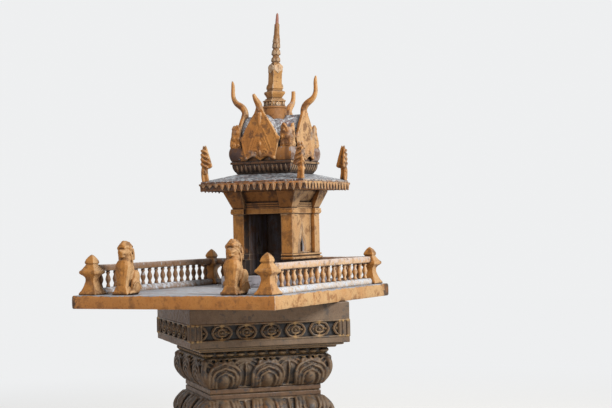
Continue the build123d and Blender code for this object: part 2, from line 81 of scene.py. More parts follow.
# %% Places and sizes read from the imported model
MM = 0.001
PEDESTAL_TURN, HOUSE_TURN = 43.3, 1.5


def at(x, y, z=0.0):
    return Matrix.Translation((x, y, z))


def turned_by(degrees):
    """A turn about the upright axis."""
    return Matrix.Rotation(math.radians(degrees), 4, "Z")


def middle(node):
    low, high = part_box(node)
    return (low + high) / 2


def level(node, top=True, above=0.0):
    """The top or underside of a node in millimetres above a given level in metres."""
    return (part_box(node)[1 if top else 0].z - above) / MM


slab_low, slab_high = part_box("platform_slab")
DECK = slab_high.z
slab_axis, house_axis = middle("platform_slab"), middle("tier_hull")
pedestal_place = turned_by(PEDESTAL_TURN) @ Matrix.Scale(MM, 4)
platform_place = at(slab_axis.x, slab_axis.y, DECK) @ Matrix.Scale(MM, 4)
house_place = at(house_axis.x, house_axis.y, DECK) @ turned_by(HOUSE_TURN) @ Matrix.Scale(MM, 4)
print("deck at", round(DECK, 3), "house axis at", [round(x, 3) for x in house_axis])

# %% [markdown]
# ## Camera
# The view is from the front right, about five metres away and just under the level of the
# shrine's door, with a portrait lens. It was found by matching the platform's corners.

# %% Camera
VIEW_YAW, VIEW_PITCH, VIEW_ROLL = math.radians(26.3), math.radians(0.9), math.radians(-1.25)
VIEW_DISTANCE, VIEW_RIGHT, VIEW_UP, VIEW_AIM = 5.290, 0.2554, 0.111, 0.200
LENS, SENSOR, VIEW_END = 85.0, 36.0, 100

ahead = Vector((-math.sin(VIEW_YAW) * math.cos(VIEW_PITCH), math.cos(VIEW_YAW) * math.cos(VIEW_PITCH),
                math.sin(VIEW_PITCH)))
level_right = Vector((math.cos(VIEW_YAW), math.sin(VIEW_YAW), 0))
level_up = level_right.cross(ahead)
view_right = math.cos(VIEW_ROLL) * level_right + math.sin(VIEW_ROLL) * level_up
view_up = math.cos(VIEW_ROLL) * level_up - math.sin(VIEW_ROLL) * level_right
aim = platform_place.translation + Vector((0, 0, VIEW_AIM)) + VIEW_RIGHT * view_right + VIEW_UP * view_up

camera = bpy.data.objects.new("camera", bpy.data.cameras.new("camera"))
camera.data.lens, camera.data.sensor_width, camera.data.clip_end = LENS, SENSOR, VIEW_END
camera.matrix_world = Matrix.Translation(aim - ahead * VIEW_DISTANCE) @ Matrix(
    (view_right, view_up, -ahead)).transposed().to_4x4()
bpy.context.scene.collection.objects.link(camera)
bpy.context.scene.camera = camera
bpy.context.scene.view_settings.view_transform = "Standard"
print("camera at", [round(x, 3) for x in camera.matrix_world.translation])

# %% [markdown]
# ## Floor and light
# A plain pale floor and a soft studio light. The wide lamp stands to the right, where the
# sun stood, so the right-hand faces are the bright ones, and a pale surround fills the rest.

# %% Floor and lamps
FLOOR_RADIUS, HAZE_FROM, HAZE_TO = 14.0, 1.2, 5.0
SKY_LIGHT, SKY_SEEN = 0.44, 0.93


def add_node(tree, kind, settings=None, **links):
    """Adds one node, with its settings, input values and links, and hands it back."""
    node = tree.nodes.new(kind)
    for key, value in (settings or {}).items():
        setattr(node, key, value)
    for key, value in links.items():
        socket = node.inputs[int(key[1:]) if key[1:].isdigit() else key.replace("_", " ")]
        if isinstance(value, bpy.types.NodeSocket):
            tree.links.new(value, socket)
        else:
            socket.default_value = value
    return node


def srgb(code):
    """A hex colour as linear values."""
    channels = [int(code[i:i + 2], 16) / 255 for i in (1, 3, 5)]
    return (*(c / 12.92 if c <= 0.04045 else ((c + 0.055) / 1.055) ** 2.4 for c in channels), 1.0)


def new_material(name):
    material = bpy.data.materials.new(name)
    material.use_nodes = True
    material.node_tree.nodes.clear()
    return material, material.node_tree


floor_material, tree = new_material("pale_studio_floor")
floor_shader = add_node(tree, "ShaderNodeBsdfPrincipled", Base_Color=srgb("#E9E7E3"), Roughness=0.9)
seat = add_node(tree, "ShaderNodeTexCoord").outputs["Object"]
away = add_node(tree, "ShaderNodeVectorMath", {"operation": "LENGTH"}, i0=seat).outputs["Value"]
faded = add_node(tree, "ShaderNodeMapRange", {"interpolation_type": "SMOOTHSTEP"}, Value=away,
                 From_Min=HAZE_FROM, From_Max=HAZE_TO)
haze = add_node(tree, "ShaderNodeEmission", Color=srgb("#EEEFF0"),
                Strength=1.0)   # the floor fades into the wall
blend = add_node(tree, "ShaderNodeMixShader", i0=faded.outputs[0], i1=floor_shader.outputs[0],
                 i2=haze.outputs[0])
add_node(tree, "ShaderNodeOutputMaterial", Surface=blend.outputs[0])
bm = bmesh.new()
bmesh.ops.create_circle(bm, cap_ends=True, segments=96, radius=FLOOR_RADIUS)
floor_mesh = bpy.data.meshes.new("floor")
bm.to_mesh(floor_mesh)
bm.free()
floor = bpy.data.objects.new("floor", floor_mesh)
floor_mesh.materials.append(floor_material)
bpy.context.scene.collection.objects.link(floor)
floor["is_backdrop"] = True

LAMPS_AIM = Vector((0, 0, 1.0))
for name, power, size, place in (("key_lamp", 430, 1.8, (4.7, -1.5, 3.9)),
                                 ("fill_lamp", 40, 3.0, (-3.6, -3.4, 2.6)),
                                 ("back_lamp", 60, 3.0, (-1.5, 4.6, 3.0))):
    data = bpy.data.lights.new(name, "AREA")
    data.energy, data.size = power, size
    item = bpy.data.objects.new(name, data)
    item.matrix_world = at(*place) @ (LAMPS_AIM - Vector(place)).to_track_quat("-Z", "Y").to_matrix().to_4x4()
    bpy.context.scene.collection.objects.link(item)
world = bpy.data.worlds.new("soft_surround")
world.use_nodes = True
bpy.context.scene.world = world
tree = world.node_tree
tree.nodes.clear()
rays = add_node(tree, "ShaderNodeLightPath").outputs
seen = rays["Is Camera Ray"]
for ray in ("Is Glossy Ray", "Is Transmission Ray"):
    seen = add_node(tree, "ShaderNodeMath", {"operation": "MAXIMUM"}, i0=seen, i1=rays[ray]).outputs[0]
strength = add_node(tree, "ShaderNodeMapRange", Value=seen, To_Min=SKY_LIGHT, To_Max=SKY_SEEN)
glow = add_node(tree, "ShaderNodeBackground", Color=srgb("#F6F7F8"), Strength=strength.outputs[0])
add_node(tree, "ShaderNodeOutputWorld", Surface=glow.outputs[0])

# %% [markdown]
# ## Finishes
# Every finish here is paint or bare cast concrete that has stood outside. One recipe makes
# them all: a base colour that drifts in patches a hand wide, a fine grain from the sand in
# the mix, painted shade in hollows, worn concrete on convex edges, pale lichen on faces that
# look up, and painted sunlight that pales the faces toward the key lamp. The hollows and edges
# are found by how open the surface is around each point, so the painted shade and the wear
# follow the carving of whatever piece wears the finish.

# %% One recipe for weathered paint on cast concrete
PATCH_MM, STREAK_MM, BLOT_MM, MOULD_MM, GRAIN_MM = 90.0, 30.0, 14.0, 9.0, 3.5
HOLLOW, CREVICE, EDGE = 0.026, 0.009, 0.0045       # how far the painted hollow shade and the edge wear look round a point, in metres
# the first two colours are painted shade for crevices and hollows; the chip and mould colours are real marks
CREVICE_SHADE, HOLLOW_SHADE, CHIP_BLACK, MOULD_BLACK = "#26180F", "#1C1917", "#2B2420", "#332C2A"
BUMP, BLOT_RISE, GRAIN_RISE = 0.5, 0.0016, 0.0006


def mix(tree, factor, a, b):
    """Mixes two colours and hands back the colour socket."""
    node = tree.nodes.new("ShaderNodeMix")
    node.data_type = "RGBA"
    for socket, value in ((node.inputs[0], factor), (node.inputs[6], a), (node.inputs[7], b)):
        if isinstance(value, bpy.types.NodeSocket):
            tree.links.new(value, socket)
        else:
            socket.default_value = value
    return node.outputs[2]


def ramp(tree, value, low, high, out_low=0.0, out_high=1.0):
    """A smooth step of a value between two limits."""
    return add_node(tree, "ShaderNodeMapRange", {"interpolation_type": "SMOOTHSTEP"}, Value=value,
                    From_Min=low, From_Max=high, To_Min=out_low, To_Max=out_high).outputs[0]


def maths(tree, operation, a, b=0.0, clamp=False):
    return add_node(tree, "ShaderNodeMath", {"operation": operation, "use_clamp": clamp}, i0=a,
                    i1=b).outputs[0]


def speckle(tree, where, size_mm, detail=4.0, rough=0.55):
    """Noise whose spots are about the given size."""
    return add_node(tree, "ShaderNodeTexNoise", Vector=where, Scale=1.0 / (size_mm * MM), Detail=detail,
                    Roughness=rough).outputs[0]


def weathered(name, tones, wear, rough=0.62, drift=0.5, sheen=0.35, up_low=0.55, chips=0.0, accent=None,
              cap=None, room=None, bare_above=None, sunlit_paling=None, spots=(), stains=()):
    """tones: base, light, deep, worn and crust colours. wear: painted shade in hollows, worn edge, lichen and
    streaks.
    """
    base, light, deep, worn, crust = tones.split()
    hollow_shade, edge, lichen, streaks = wear
    material, tree = new_material(name)
    add, step, noisy = partial(add_node, tree), partial(ramp, tree), partial(speckle, tree)
    colour = srgb(base)

    def times(a, b):
        return maths(tree, "MULTIPLY", a, b, True)

    def ragged(value, reach):
        """The value, made uneven by blots, so that a line drawn at a limit wanders."""
        return maths(tree, "ADD", value, step(blots, 0.3, 0.7, -reach, reach))

    def openness(distance, **settings):
        return add("ShaderNodeAmbientOcclusion", {"samples": 6, **settings}, Distance=distance).outputs["AO"]

    def lay(mask, tint):
        """Lays a tint over the colour where the mask is high."""
        nonlocal colour
        colour = mix(tree, mask, colour, srgb(tint) if isinstance(tint, str) else tint)

    seat = add("ShaderNodeTexCoord").outputs
    where = seat["Object"]
    side, _, up = add("ShaderNodeSeparateXYZ", Vector=seat["Normal"]).outputs
    patches, grain, blots = noisy(where, PATCH_MM, 5.0, 0.6), noisy(where, GRAIN_MM, 3.0,
                                                                    0.6), noisy(where, BLOT_MM, 6.0, 0.65)
    runs = noisy(add("ShaderNodeMapping", Vector=where, Scale=(1, 1, 0.12)).outputs[0], STREAK_MM, 4.0, 0.6)
    hollow, crevice = openness(HOLLOW), openness(CREVICE)      # 1 on open ground, near 0 in a hollow
    thin = openness(EDGE, inside=True, only_local=True)

    lay(step(patches, 0.35, 0.68, 0.0, drift), light)
    lay(step(blots, 0.52, 0.75, 0.0, 0.45), deep)
    lay(times(step(runs, 0.5, 0.72), streaks), deep)
    if sunlit_paling:                 # painted sunlight: faces toward +X, the key lamp's side, are painted paler
        painted_sun = times(step(side, 0.25, 0.85), step(patches, 0.30, 0.62, 0.55, 1.0))
        lay(times(painted_sun, sunlit_paling[1]), sunlit_paling[0])
    if accent:
        lay(times(step(patches, 0.58, 0.7), 0.7), accent)
    if cap:                    # bare top, painted sides, with the paint lapping unevenly over the arris
        bare = mix(tree, step(patches, 0.38, 0.62), srgb(cap[0]), srgb(cap[1]))
        lay(step(ragged(up, 0.25), cap[2] - 0.12, cap[2] + 0.12), bare)
    if bare_above:             # the colour changes above a level, with a ragged line
        height = add("ShaderNodeSeparateXYZ", Vector=where).outputs["Z"]
        lay(step(ragged(height, 0.01), bare_above[0] - 0.004, bare_above[0] + 0.004), bare_above[1])
    if room:                   # another colour inside a square about an axis: a bare room, a frieze's ground
        centre, angle, limit, inside, slit_tint = room
        spot = add("ShaderNodeMapping", {"vector_type": "TEXTURE"}, Vector=where, Location=(*centre, 0),
                   Rotation=(0, 0, math.radians(angle)))
        away = add("ShaderNodeVectorMath", {"operation": "ABSOLUTE"}, i0=spot.outputs[0]).outputs[0]
        across, along, _ = add("ShaderNodeSeparateXYZ", Vector=away).outputs
        bare = mix(tree, step(runs, 0.4, 0.65), srgb(inside[0]), srgb(inside[1]))
        lay(step(maths(tree, "MAXIMUM", across, along), limit + 0.0006, limit - 0.0006), bare)
        if slit_tint:          # the window slits' sides are pale concrete near the outer face and painted shade deeper in; the doorway's sides are painted shade
            sideways = maths(tree, "ABSOLUTE", side)
            slit_depth_shade = mix(tree, step(across, 0.0965, 0.0990), srgb("#1E1815"), srgb(slit_tint))
            lay(times(step(along, 0.0225, 0.0205), step(sideways, 0.75, 0.5)), slit_depth_shade)
            jamb_shade = times(step(across, 0.0796, 0.0788), step(sideways, 0.5, 0.75))
            lay(times(jamb_shade, step(along, 0.0790, 0.0798)), "#241E1C")
    for towards, limit, tint, amount in stains:      # damp has darkened what lies beyond a limit
        reach = add("ShaderNodeVectorMath", {"operation": "DOT_PRODUCT"}, i0=where,
                    i1=towards).outputs["Value"]
        lay(step(ragged(reach, 0.012), limit - 0.010, limit + 0.010, 0.0, amount), tint)
    for i, (size_mm, low, high, tint, amount) in enumerate(spots):     # flaked paint, lichen and stains
        moved = add("ShaderNodeMapping", Vector=where, Location=(0.37 * (i + 1), 0.21, 0.53 * i)).outputs[0]
        lay(times(step(noisy(moved, size_mm, 4.0, 0.65), low, high), amount), tint)
    # painted shade: hollows and crevices, found by how open the surface is, are darkened
    for ground, low, high, tint in ((hollow, 0.88, 0.40, deep), (crevice, 0.86, 0.46, CREVICE_SHADE),
                                    (hollow, 0.58, 0.20, HOLLOW_SHADE)):
        lay(times(step(ground, low, high), hollow_shade), tint)
    lay(times(times(step(thin, 0.80, 0.45), step(blots, 0.30, 0.58)), edge), worn)
    if chips:
        lay(times(times(step(blots, 0.60, 0.66), step(patches, 0.5, 0.6)), chips), CHIP_BLACK)
    lay(times(times(step(up, up_low, 0.95), step(blots, 0.36, 0.60)), lichen), crust)
    mould = step(noisy(where, MOULD_MM, 5.0, 0.7), 0.56, 0.68)
    lay(times(times(step(up, up_low - 0.2, 0.9), mould), lichen), MOULD_BLACK)
    lay(step(grain, 0.35, 0.75, 0.0, 0.22), deep)

    low = add("ShaderNodeBump", Strength=BUMP, Distance=BLOT_RISE, Height=blots)
    fine = add("ShaderNodeBump", Strength=BUMP * 0.8, Distance=GRAIN_RISE, Height=grain,
               Normal=low.outputs[0])
    shader = add("ShaderNodeBsdfPrincipled", Base_Color=colour, Specular_IOR_Level=sheen,
                 Normal=fine.outputs[0],
                 Roughness=step(blots, 0.3, 0.7, rough - 0.08, rough + 0.16))
    add("ShaderNodeOutputMaterial", Surface=shader.outputs[0])
    return material


# %% The painted and bare finishes
# A spot is: size in mm, where the noise starts and ends, tint, amount.
# A stain is: direction, limit, tint, amount.
# Gold paint, brushed on: warm ochre, a little glossy where it is whole, and painted paler tan on the faces
# toward the light, as painted sunlight.
SUNLIT_TAN = "#BC9A70"
gold = weathered(
    "gold_paint_on_concrete", "#A0672A #B67F3E #52300F #CBB496 #A99A86", (0.9, 0.4, 0.35, 0.6),
    sunlit_paling=(SUNLIT_TAN, 0.75), spots=((40, 0.50, 0.62, "#653F1C", 0.7), (6, 0.61, 0.67, "#3C2715", 0.6)))
# The left and back rails, which face the shade, are darker brown beyond a line, and two corners of the slab
# are black.
HALF_ROOT = 0.7071
far_rails_darker = (((-1, 0, 0), -middle("balustrade_left").x - 0.035, "#61432C", 0.75),
              ((0, 1, 0), middle("balustrade_back").y - 0.03, "#61432C", 0.7))
black_corners = (
    ((-HALF_ROOT, -HALF_ROOT, 0), -HALF_ROOT * (slab_low.x + slab_low.y) - 0.012, "#2A211C", 0.9),
    ((HALF_ROOT, HALF_ROOT, 0), HALF_ROOT * (slab_high.x + slab_high.y) - 0.035, "#241E1C", 0.9))
# Rails and steps that carry water have gone pale and pinkish on top.
rail_gold = weathered(
    "gold_paint_on_rails", "#9C6630 #B27D44 #52300F #D8CBBD #C3B2A6", (0.9, 0.65, 0.9, 0.7), up_low=0.30,
    sunlit_paling=("#C2A583", 0.8), bare_above=(DECK + 0.094, "#B9A596"), stains=far_rails_darker,
    spots=((30, 0.54, 0.64, "#5E3F24", 0.6), (16, 0.60, 0.64, "#A9B2BA", 0.5)))
curb_white = weathered(
    "washed_paint_on_curbs", "#A68A68 #C4B6A6 #5E4630 #E0DAD2 #BBC1C8", (0.7, 0.6, 1.0, 0.3), up_low=0.05,
    sunlit_paling=("#C6BAAE", 0.75), stains=far_rails_darker,
    spots=((26, 0.50, 0.58, "#B9C0C8", 0.8), (10, 0.58, 0.64, "#4E4238", 0.6)))
# The same paint high on the roof, where lichen has taken more of it.
gold_high = weathered(
    "gold_paint_on_roof_carving", "#9C6228 #B87F3D #4C2B10 #C9BFB2 #A8A29A", (0.95, 0.45, 0.6, 0.6),
    chips=0.4, sunlit_paling=(SUNLIT_TAN, 0.8),
    spots=((34, 0.50, 0.61, "#54331A", 0.75), (70, 0.58, 0.66, "#8A8580", 0.4),
           (7, 0.60, 0.66, "#33211A", 0.6)))
# The drum stands in the gables' shade, and that shade is painted into it: a darker copy of the gold.
gold_painted_shade = weathered(
    "gold_paint_with_painted_shade", "#85552A #9C6A36 #40260F #CBB496 #8E8A84", (0.95, 0.5, 0.4, 0.4),
    sunlit_paling=("#94693A", 0.5), spots=((26, 0.52, 0.62, "#4C2E16", 0.6),))
# Under the eaves and on their edge the gold is painted darker brown, as painted shade under the eaves.
gold_eaves_shade = weathered(
    "gold_paint_with_painted_eaves_shade", "#84521F #A0682F #3A2110 #B99A7C #A39C95", (0.95, 0.3, 0.5, 0.8),
    sunlit_paling=(SUNLIT_TAN, 0.7), spots=((34, 0.50, 0.64, "#472914", 0.75),))
fringe_gold = weathered(
    "gold_on_hanging_petals", "#8C5526 #A46C34 #3A2110 #CDB597 #A39C95", (0.8, 0.3, 0.5, 0.8),
    sunlit_paling=("#B08A5C", 0.8), spots=((30, 0.50, 0.60, "#4A2B14", 0.8),))
# A dark sheet behind the petals stands for the shade under the eaves between them: painted shade.
fringe_shade_sheet = weathered(
    "painted_shade_between_petals", "#5A3417 #6E4420 #24160E #7A5A3C #8E8A84", (0.9, 0.1, 0.2, 0.4),
    sunlit_paling=("#5C5048", 0.7), spots=((30, 0.48, 0.58, "#2E1E16", 0.85), (12, 0.60, 0.66, "#6A747E", 0.5)))
# The roof slopes are nearly bare: grey concrete under white and rust-red lichen.
roof = weathered(
    "lichen_on_roof_slope", "#77736F #99959A #443B39 #C8C4BE #9CA2A7", (0.8, 0.5, 0.45, 0.4), up_low=0.3,
    accent="#8C5A45", drift=0.8,
    spots=((20, 0.48, 0.57, "#3E3439", 0.85), (11, 0.52, 0.58, "#D5D8DA", 0.8),
           (13, 0.58, 0.63, "#8A5640", 0.7)))
# Bronze-brown paint, rubbed: dark, with ochre showing on the raised carving.
RUBBED = {"rough": 0.55, "sheen": 0.45}
bronze = weathered(
    "bronze_brown_paint", "#51371F #6A4A2A #231810 #9A7748 #7B6B57", (0.9, 0.75, 0.3, 0.4), **RUBBED,
    spots=((22, 0.56, 0.66, "#1B242B", 0.55), (26, 0.60, 0.66, "#8A6A42", 0.35)))
# The deck: bare trowelled concrete, grey-blue, with black mould in spots.
deck_grey = weathered(
    "trowelled_concrete_deck", "#7C8086 #989A9E #5C5654 #B8B0A6 #8F9499", (0.6, 0.4, 0.5, 0.0), drift=0.9,
    spots=((16, 0.60, 0.66, "#6F5C4C", 0.5), (30, 0.56, 0.64, "#C9C4BE", 0.6)))
# The slab was painted on its sides only, and the roof's fascia likewise.
slab_paint = weathered(
    "gold_paint_on_slab_sides", "#A3682D #B27A3E #6A431F #DDD3C6 #AEB4BC", (0.6, 0.7, 0.45, 0.1), chips=0.5,
    up_low=0.7, cap=("#7A7E84", "#989A9E", 0.6), sunlit_paling=("#B5986E", 0.7), stains=black_corners,
    spots=((46, 0.50, 0.62, "#774A22", 0.7), (7, 0.60, 0.66, "#4A2F1A", 0.55)))
roof_paint = weathered(
    "lichen_over_gold_fascia", "#7C4C20 #96622E #3A2412 #D8CCBC #999DA1", (0.8, 0.9, 0.35, 0.4), up_low=0.25,
    cap=("#5B5F64", "#83888D", 0.30), sunlit_paling=("#B7AA98", 0.8),
    spots=((24, 0.47, 0.56, "#3B2F33", 0.85), (12, 0.55, 0.61, "#C9CCCE", 0.7),
           (15, 0.58, 0.63, "#85513B", 0.6)))
# The needle's tip has lost its gold: pink primer shows.
TIP_BARE = 1.772
tower_gold = weathered(
    "gold_paint_on_tower", "#96632B #AE7E44 #4C2E14 #D3C2AA #B0A591", (1.0, 0.5, 0.4, 0.5),
    sunlit_paling=("#A9824F", 0.7), bare_above=(TIP_BARE, "#90584C"),
    spots=((24, 0.53, 0.64, "#5C3A1A", 0.65), (6, 0.62, 0.68, "#3C2715", 0.5)))
needle_gold = weathered(
    "worn_gold_on_needle", "#7E552D #976C3E #3A2418 #C2AC90 #9A8E7C", (1.1, 0.4, 0.4, 0.8),
    sunlit_paling=("#A07C52", 0.5), bare_above=(TIP_BARE, "#8A5A4A"), spots=((16, 0.52, 0.62, "#4A3020", 0.7),))
# The bowl under the hull never dries, and is black between its petals.
bowl_gold = weathered(
    "sooted_gold_on_bowl", "#4E3018 #6C4524 #1C120D #8A7361 #857E7A", (1.0, 0.3, 0.3, 0.4),
    sunlit_paling=("#B0906A", 0.8), spots=((20, 0.50, 0.60, "#241610", 0.8),))
bowl_soot = weathered(
    "sooted_bowl", "#3A2418 #57391F #1A1210 #8A7361 #857E7A", (0.9, 0.2, 0.4, 0.4), sunlit_paling=("#7E7468", 0.6),
    spots=((14, 0.58, 0.64, "#8C5A2A", 0.6), (12, 0.60, 0.65, "#7F8892", 0.5)))
# Inside, the paint stops: raw dark concrete with smoke from incense. The slits' and the doorway's sides get
# painted shade.
shrine_room = ((house_axis.x, house_axis.y), HOUSE_TURN, 0.0794, ("#55463E", "#76727A"), "#B9B2B0")
block_core = ((0.0, 0.0), PEDESTAL_TURN, 0.2840, ("#151C22", "#262B2E"), None)
dark = weathered("dark_brown_paint", "#33261C #453424 #16110D #6B5238 #5D564D", (0.8, 0.4, 0.2, 0.4))
shrine_gold = weathered(
    "gold_paint_outside_bare_inside", "#A0672A #B88041 #52300F #CBB496 #A99A86", (0.7, 0.35, 0.3, 0.8),
    sunlit_paling=(SUNLIT_TAN, 0.75), room=shrine_room,
    spots=((44, 0.50, 0.63, "#653F1C", 0.65), (5, 0.61, 0.66, "#33221A", 0.6)))
# The inset dado under the walls is coloured dark brown.
shrine_dado = weathered(
    "dark_dado_band", "#3A2A1E #4A3727 #1A130E #7C6448 #8F9499", (0.6, 0.4, 0.5, 0.4), room=shrine_room)
bronze_block = weathered(
    "bronze_brown_with_blue_ground", "#51371F #6A4A2A #231810 #9A7748 #7B6B57", (0.9, 0.9, 0.4, 0.4),
    **RUBBED, room=block_core, sunlit_paling=("#7A6B58", 0.55), spots=((22, 0.56, 0.66, "#1B242B", 0.45),))
bronze_carved = weathered(
    "bronze_brown_on_carving", "#4C3620 #68492A #14110F #A88450 #857560", (1.1, 0.85, 0.3, 0.4), **RUBBED,
    sunlit_paling=("#7E6C55", 0.5), spots=((30, 0.50, 0.60, "#1A2026", 0.7), (34, 0.60, 0.66, "#7A4E26", 0.5)))
# A lighter copy of the bronze for the bead steps: painted light, since the bead course catches the light.
bronze_painted_lit = weathered(
    "bronze_brown_painted_lighter", "#644626 #836239 #1D1510 #AD8A58 #8B7B64", (1.0, 0.95, 0.3, 0.4), rough=0.52,
    sheen=0.45, sunlit_paling=("#8C7757", 0.5), spots=((22, 0.57, 0.66, "#1B242B", 0.5),))
hull_gold = weathered(
    "gold_paint_on_hull", "#8C5A2A #A2703A #4A2C14 #C9BFB2 #A8A29A", (0.95, 0.45, 0.5, 0.7),
    sunlit_paling=("#8E9397", 0.6), stains=(((-1, 0, 0), 0.074 - house_axis.x, "#2B2024", 0.9),),
    spots=((34, 0.50, 0.61, "#54331A", 0.7), (34, 0.60, 0.64, "#858A8E", 0.6)))
step_white = weathered(
    "washed_concrete_step", "#8C888B #B2ADB2 #4E4846 #D8D4D0 #B5B2B4", (0.8, 0.5, 0.6, 0.4), drift=0.9,
    spots=((13, 0.57, 0.62, "#38322F", 0.75), (26, 0.55, 0.64, "#A18C98", 0.5)))
print("finishes", len(bpy.data.materials))

# %% [markdown]
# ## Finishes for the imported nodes
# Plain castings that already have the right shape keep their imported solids. They get a weld
# and a small bevel as modifiers, since no cast edge is knife sharp, and the finish of the
# part of the shrine they belong to.

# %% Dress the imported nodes
WELD_REACH = 0.00001
slots = {row["node"]: row["material_slot"] for row in frame["record"]["subparts"]}
slot_finish = {"gold_paint": gold, "bronze_paint": bronze, "worn_concrete": deck_grey, "dark_paint": dark}
node_finish = {
    "eaves_roof": roof_paint, "tier_roof": roof, "tier_foot": bowl_soot, "cornice": gold_eaves_shade,
    "tier_hull": hull_gold, "pedestal_top_block": bronze_block, "pedestal_base_block": bronze_block,
    "house_plinth": step_white, **dict.fromkeys(("dado_back", "dado_left", "dado_right"), shrine_dado),
    **dict.fromkeys(("corner_piers", "wall_back", "wall_left", "wall_right", "capital_slab"), shrine_gold)}


def soften(names, width_mm, segments=2, angle=32):
    """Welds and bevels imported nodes."""
    for name in names:
        weld = nodes[name].modifiers.new("weld", "WELD")
        weld.merge_threshold = WELD_REACH
        bevel = nodes[name].modifiers.new("bevel", "BEVEL")
        bevel.width, bevel.segments, bevel.limit_method = width_mm * MM, segments, "ANGLE"
        bevel.angle_limit = math.radians(angle)
        bevel.use_clamp_overlap = True


for name, item in nodes.items():
    item.data.materials.clear()
    item.data.materials.append(node_finish.get(name, slot_finish[slots[name]]))
print("dressed", len(nodes))

# %% [markdown]
# ## Shaping helpers
# A carver works a mould with a few strokes: round ridges, flat leaves, balls, turned and
# mitred mouldings. The helpers make the same strokes. They add to one bmesh, and the cast
# helper then fuses them into a single skin with softened hollows, as concrete that has
# filled a mould does. The alternative, cutting one joined mesh by hand, would take far more
# care at each crossing, for edges that the casting rounds off anyway.

# %% Strokes, leaves, balls and mouldings
FACE_ON = Matrix.Rotation(math.pi / 2, 4, "X")     # lays a flat drawing up against a wall facing -Y
QUARTERS = [turned_by(90 * k) for k in range(4)]
SAME_MM = 0.01                                     # points closer than this are one point


def take_in(bm, mesh, matrix=None):
    """Adds a mesh to the bmesh, moved by a matrix."""
    moved = mesh.copy()
    if matrix is not None:
        moved.transform(matrix)
    bm.from_mesh(moved)
    bpy.data.meshes.remove(moved)


def stamp(bm, one, matrices):
    """Adds copies of one bmesh to another, one at each matrix."""
    mesh = bpy.data.meshes.new("once")
    one.to_mesh(mesh)
    if one is bm:
        bm.clear()
    else:
        one.free()
    for matrix in matrices:
        take_in(bm, mesh, matrix)
    bpy.data.meshes.remove(mesh)


def repeat(bm, matrices):
    """Replaces what the bmesh holds with copies of it at each matrix."""
    stamp(bm, bm, matrices)


def shift(bm, matrix, verts=None):
    bmesh.ops.transform(bm, matrix=matrix, verts=bm.verts if verts is None else verts)


def fill_rims(bm):
    bmesh.ops.holes_fill(bm, edges=[e for e in bm.edges if e.is_boundary], sides=0)


def trim(bm, place, outward):
    """Cuts away what lies beyond a plane, and closes the cut."""
    bmesh.ops.bisect_plane(bm, geom=bm.verts[:] + bm.edges[:] + bm.faces[:], plane_co=place, plane_no=outward,
                           clear_outer=True)
    fill_rims(bm)


def drawn(bm, spline_kind, points, sizes, closed, settings, matrix):
    """Draws a curve, makes it a mesh and adds it to the bmesh."""
    curve = bpy.data.curves.new("stroke", "CURVE")
    curve.dimensions = "2D" if spline_kind == "BEZIER" else "3D"
    for key, value in settings.items():
        setattr(curve, key, value)
    spline = curve.splines.new(spline_kind)
    if spline_kind == "BEZIER":
        spline.bezier_points.add(len(points) - 1)
        for dot, place in zip(spline.bezier_points, points):
            dot.co = (*place[:2], 0)
            dot.handle_left_type = dot.handle_right_type = "VECTOR" if len(place) > 2 else "AUTO"
    else:
        spline.points.add(len(points) - 1)
        for dot, place, size in zip(spline.points, points, sizes):
            dot.co, dot.radius = (*place, 1), size
        spline.order_u = min(4, len(points))
        spline.use_endpoint_u = not closed
    spline.use_cyclic_u = closed
    spline.resolution_u = settings["resolution_u"]
    item = bpy.data.objects.new("stroke", curve)
    mesh = bpy.data.meshes.new_from_object(item)
    take_in(bm, mesh, matrix)
    bpy.data.objects.remove(item)
    bpy.data.curves.remove(curve)
    bpy.data.meshes.remove(mesh)


def stroke(bm, points, sizes, closed=False, matrix=None, sides=2, fine=5):
    """A round ridge along points (x, y, z), as thick as sizes say; two numbers taper it from start to end."""
    if not hasattr(sizes, "__len__"):
        sizes = [sizes] * len(points)
    elif len(sizes) != len(points):
        step = (sizes[-1] - sizes[0]) / (len(points) - 1)
        sizes = [sizes[0] + step * i for i in range(len(points))]
    drawn(bm, "NURBS", points, sizes, closed, {
        "bevel_depth": 1.0, "bevel_resolution": sides, "use_fill_caps": True, "resolution_u": fine}, matrix)


def on_wall(points, depth=0.0):
    """Turns drawing points (across, up) or (across, up, out) into points on a wall that faces -Y."""
    return [(p[0], -(p[2] if len(p) > 2 else depth), p[1]) for p in points]


def leaf(bm, points, depth, edge=2.0, matrix=FACE_ON, fine=5):
    """A flat leaf with a rounded edge. A point with a third value is a sharp tip."""
    drawn(bm, "BEZIER", points, None, True, {
        "fill_mode": "BOTH", "extrude": max(depth / 2 - edge, 0.05), "bevel_depth": edge, "offset": -edge,
        "bevel_resolution": 1, "resolution_u": fine}, matrix)


def both_sides(points):
    """An outline from its right half, given from the foot up. A tip on the middle line is taken once."""
    left = [(-p[0], *p[1:]) for p in reversed(points) if p[0]]
    return points + left


def ball(bm, place, radii, rows=8):
    """An egg at a place, with its own radii along each axis."""
    made = bmesh.ops.create_uvsphere(bm, u_segments=rows + 4, v_segments=rows, radius=1.0)["verts"]
    shift(bm, at(*place) @ Matrix.Diagonal((*radii, 1)), made)


def block(bm, low, high, edge=0.0, segments=2):
    """A box between two corners, with rounded edges."""
    made = bmesh.ops.create_cube(bm, size=1.0)["verts"]
    low, high = Vector(low), Vector(high)
    shift(bm, at(*(low + high) / 2) @ Matrix.Diagonal((*(high - low), 1)), made)
    if edge:
        edges = list({e for v in made for e in v.link_edges})
        made = bmesh.ops.bevel(bm, geom=edges, offset=edge, segments=segments, profile=0.5, affect="EDGES",
                               material=-1)["verts"]
    return made


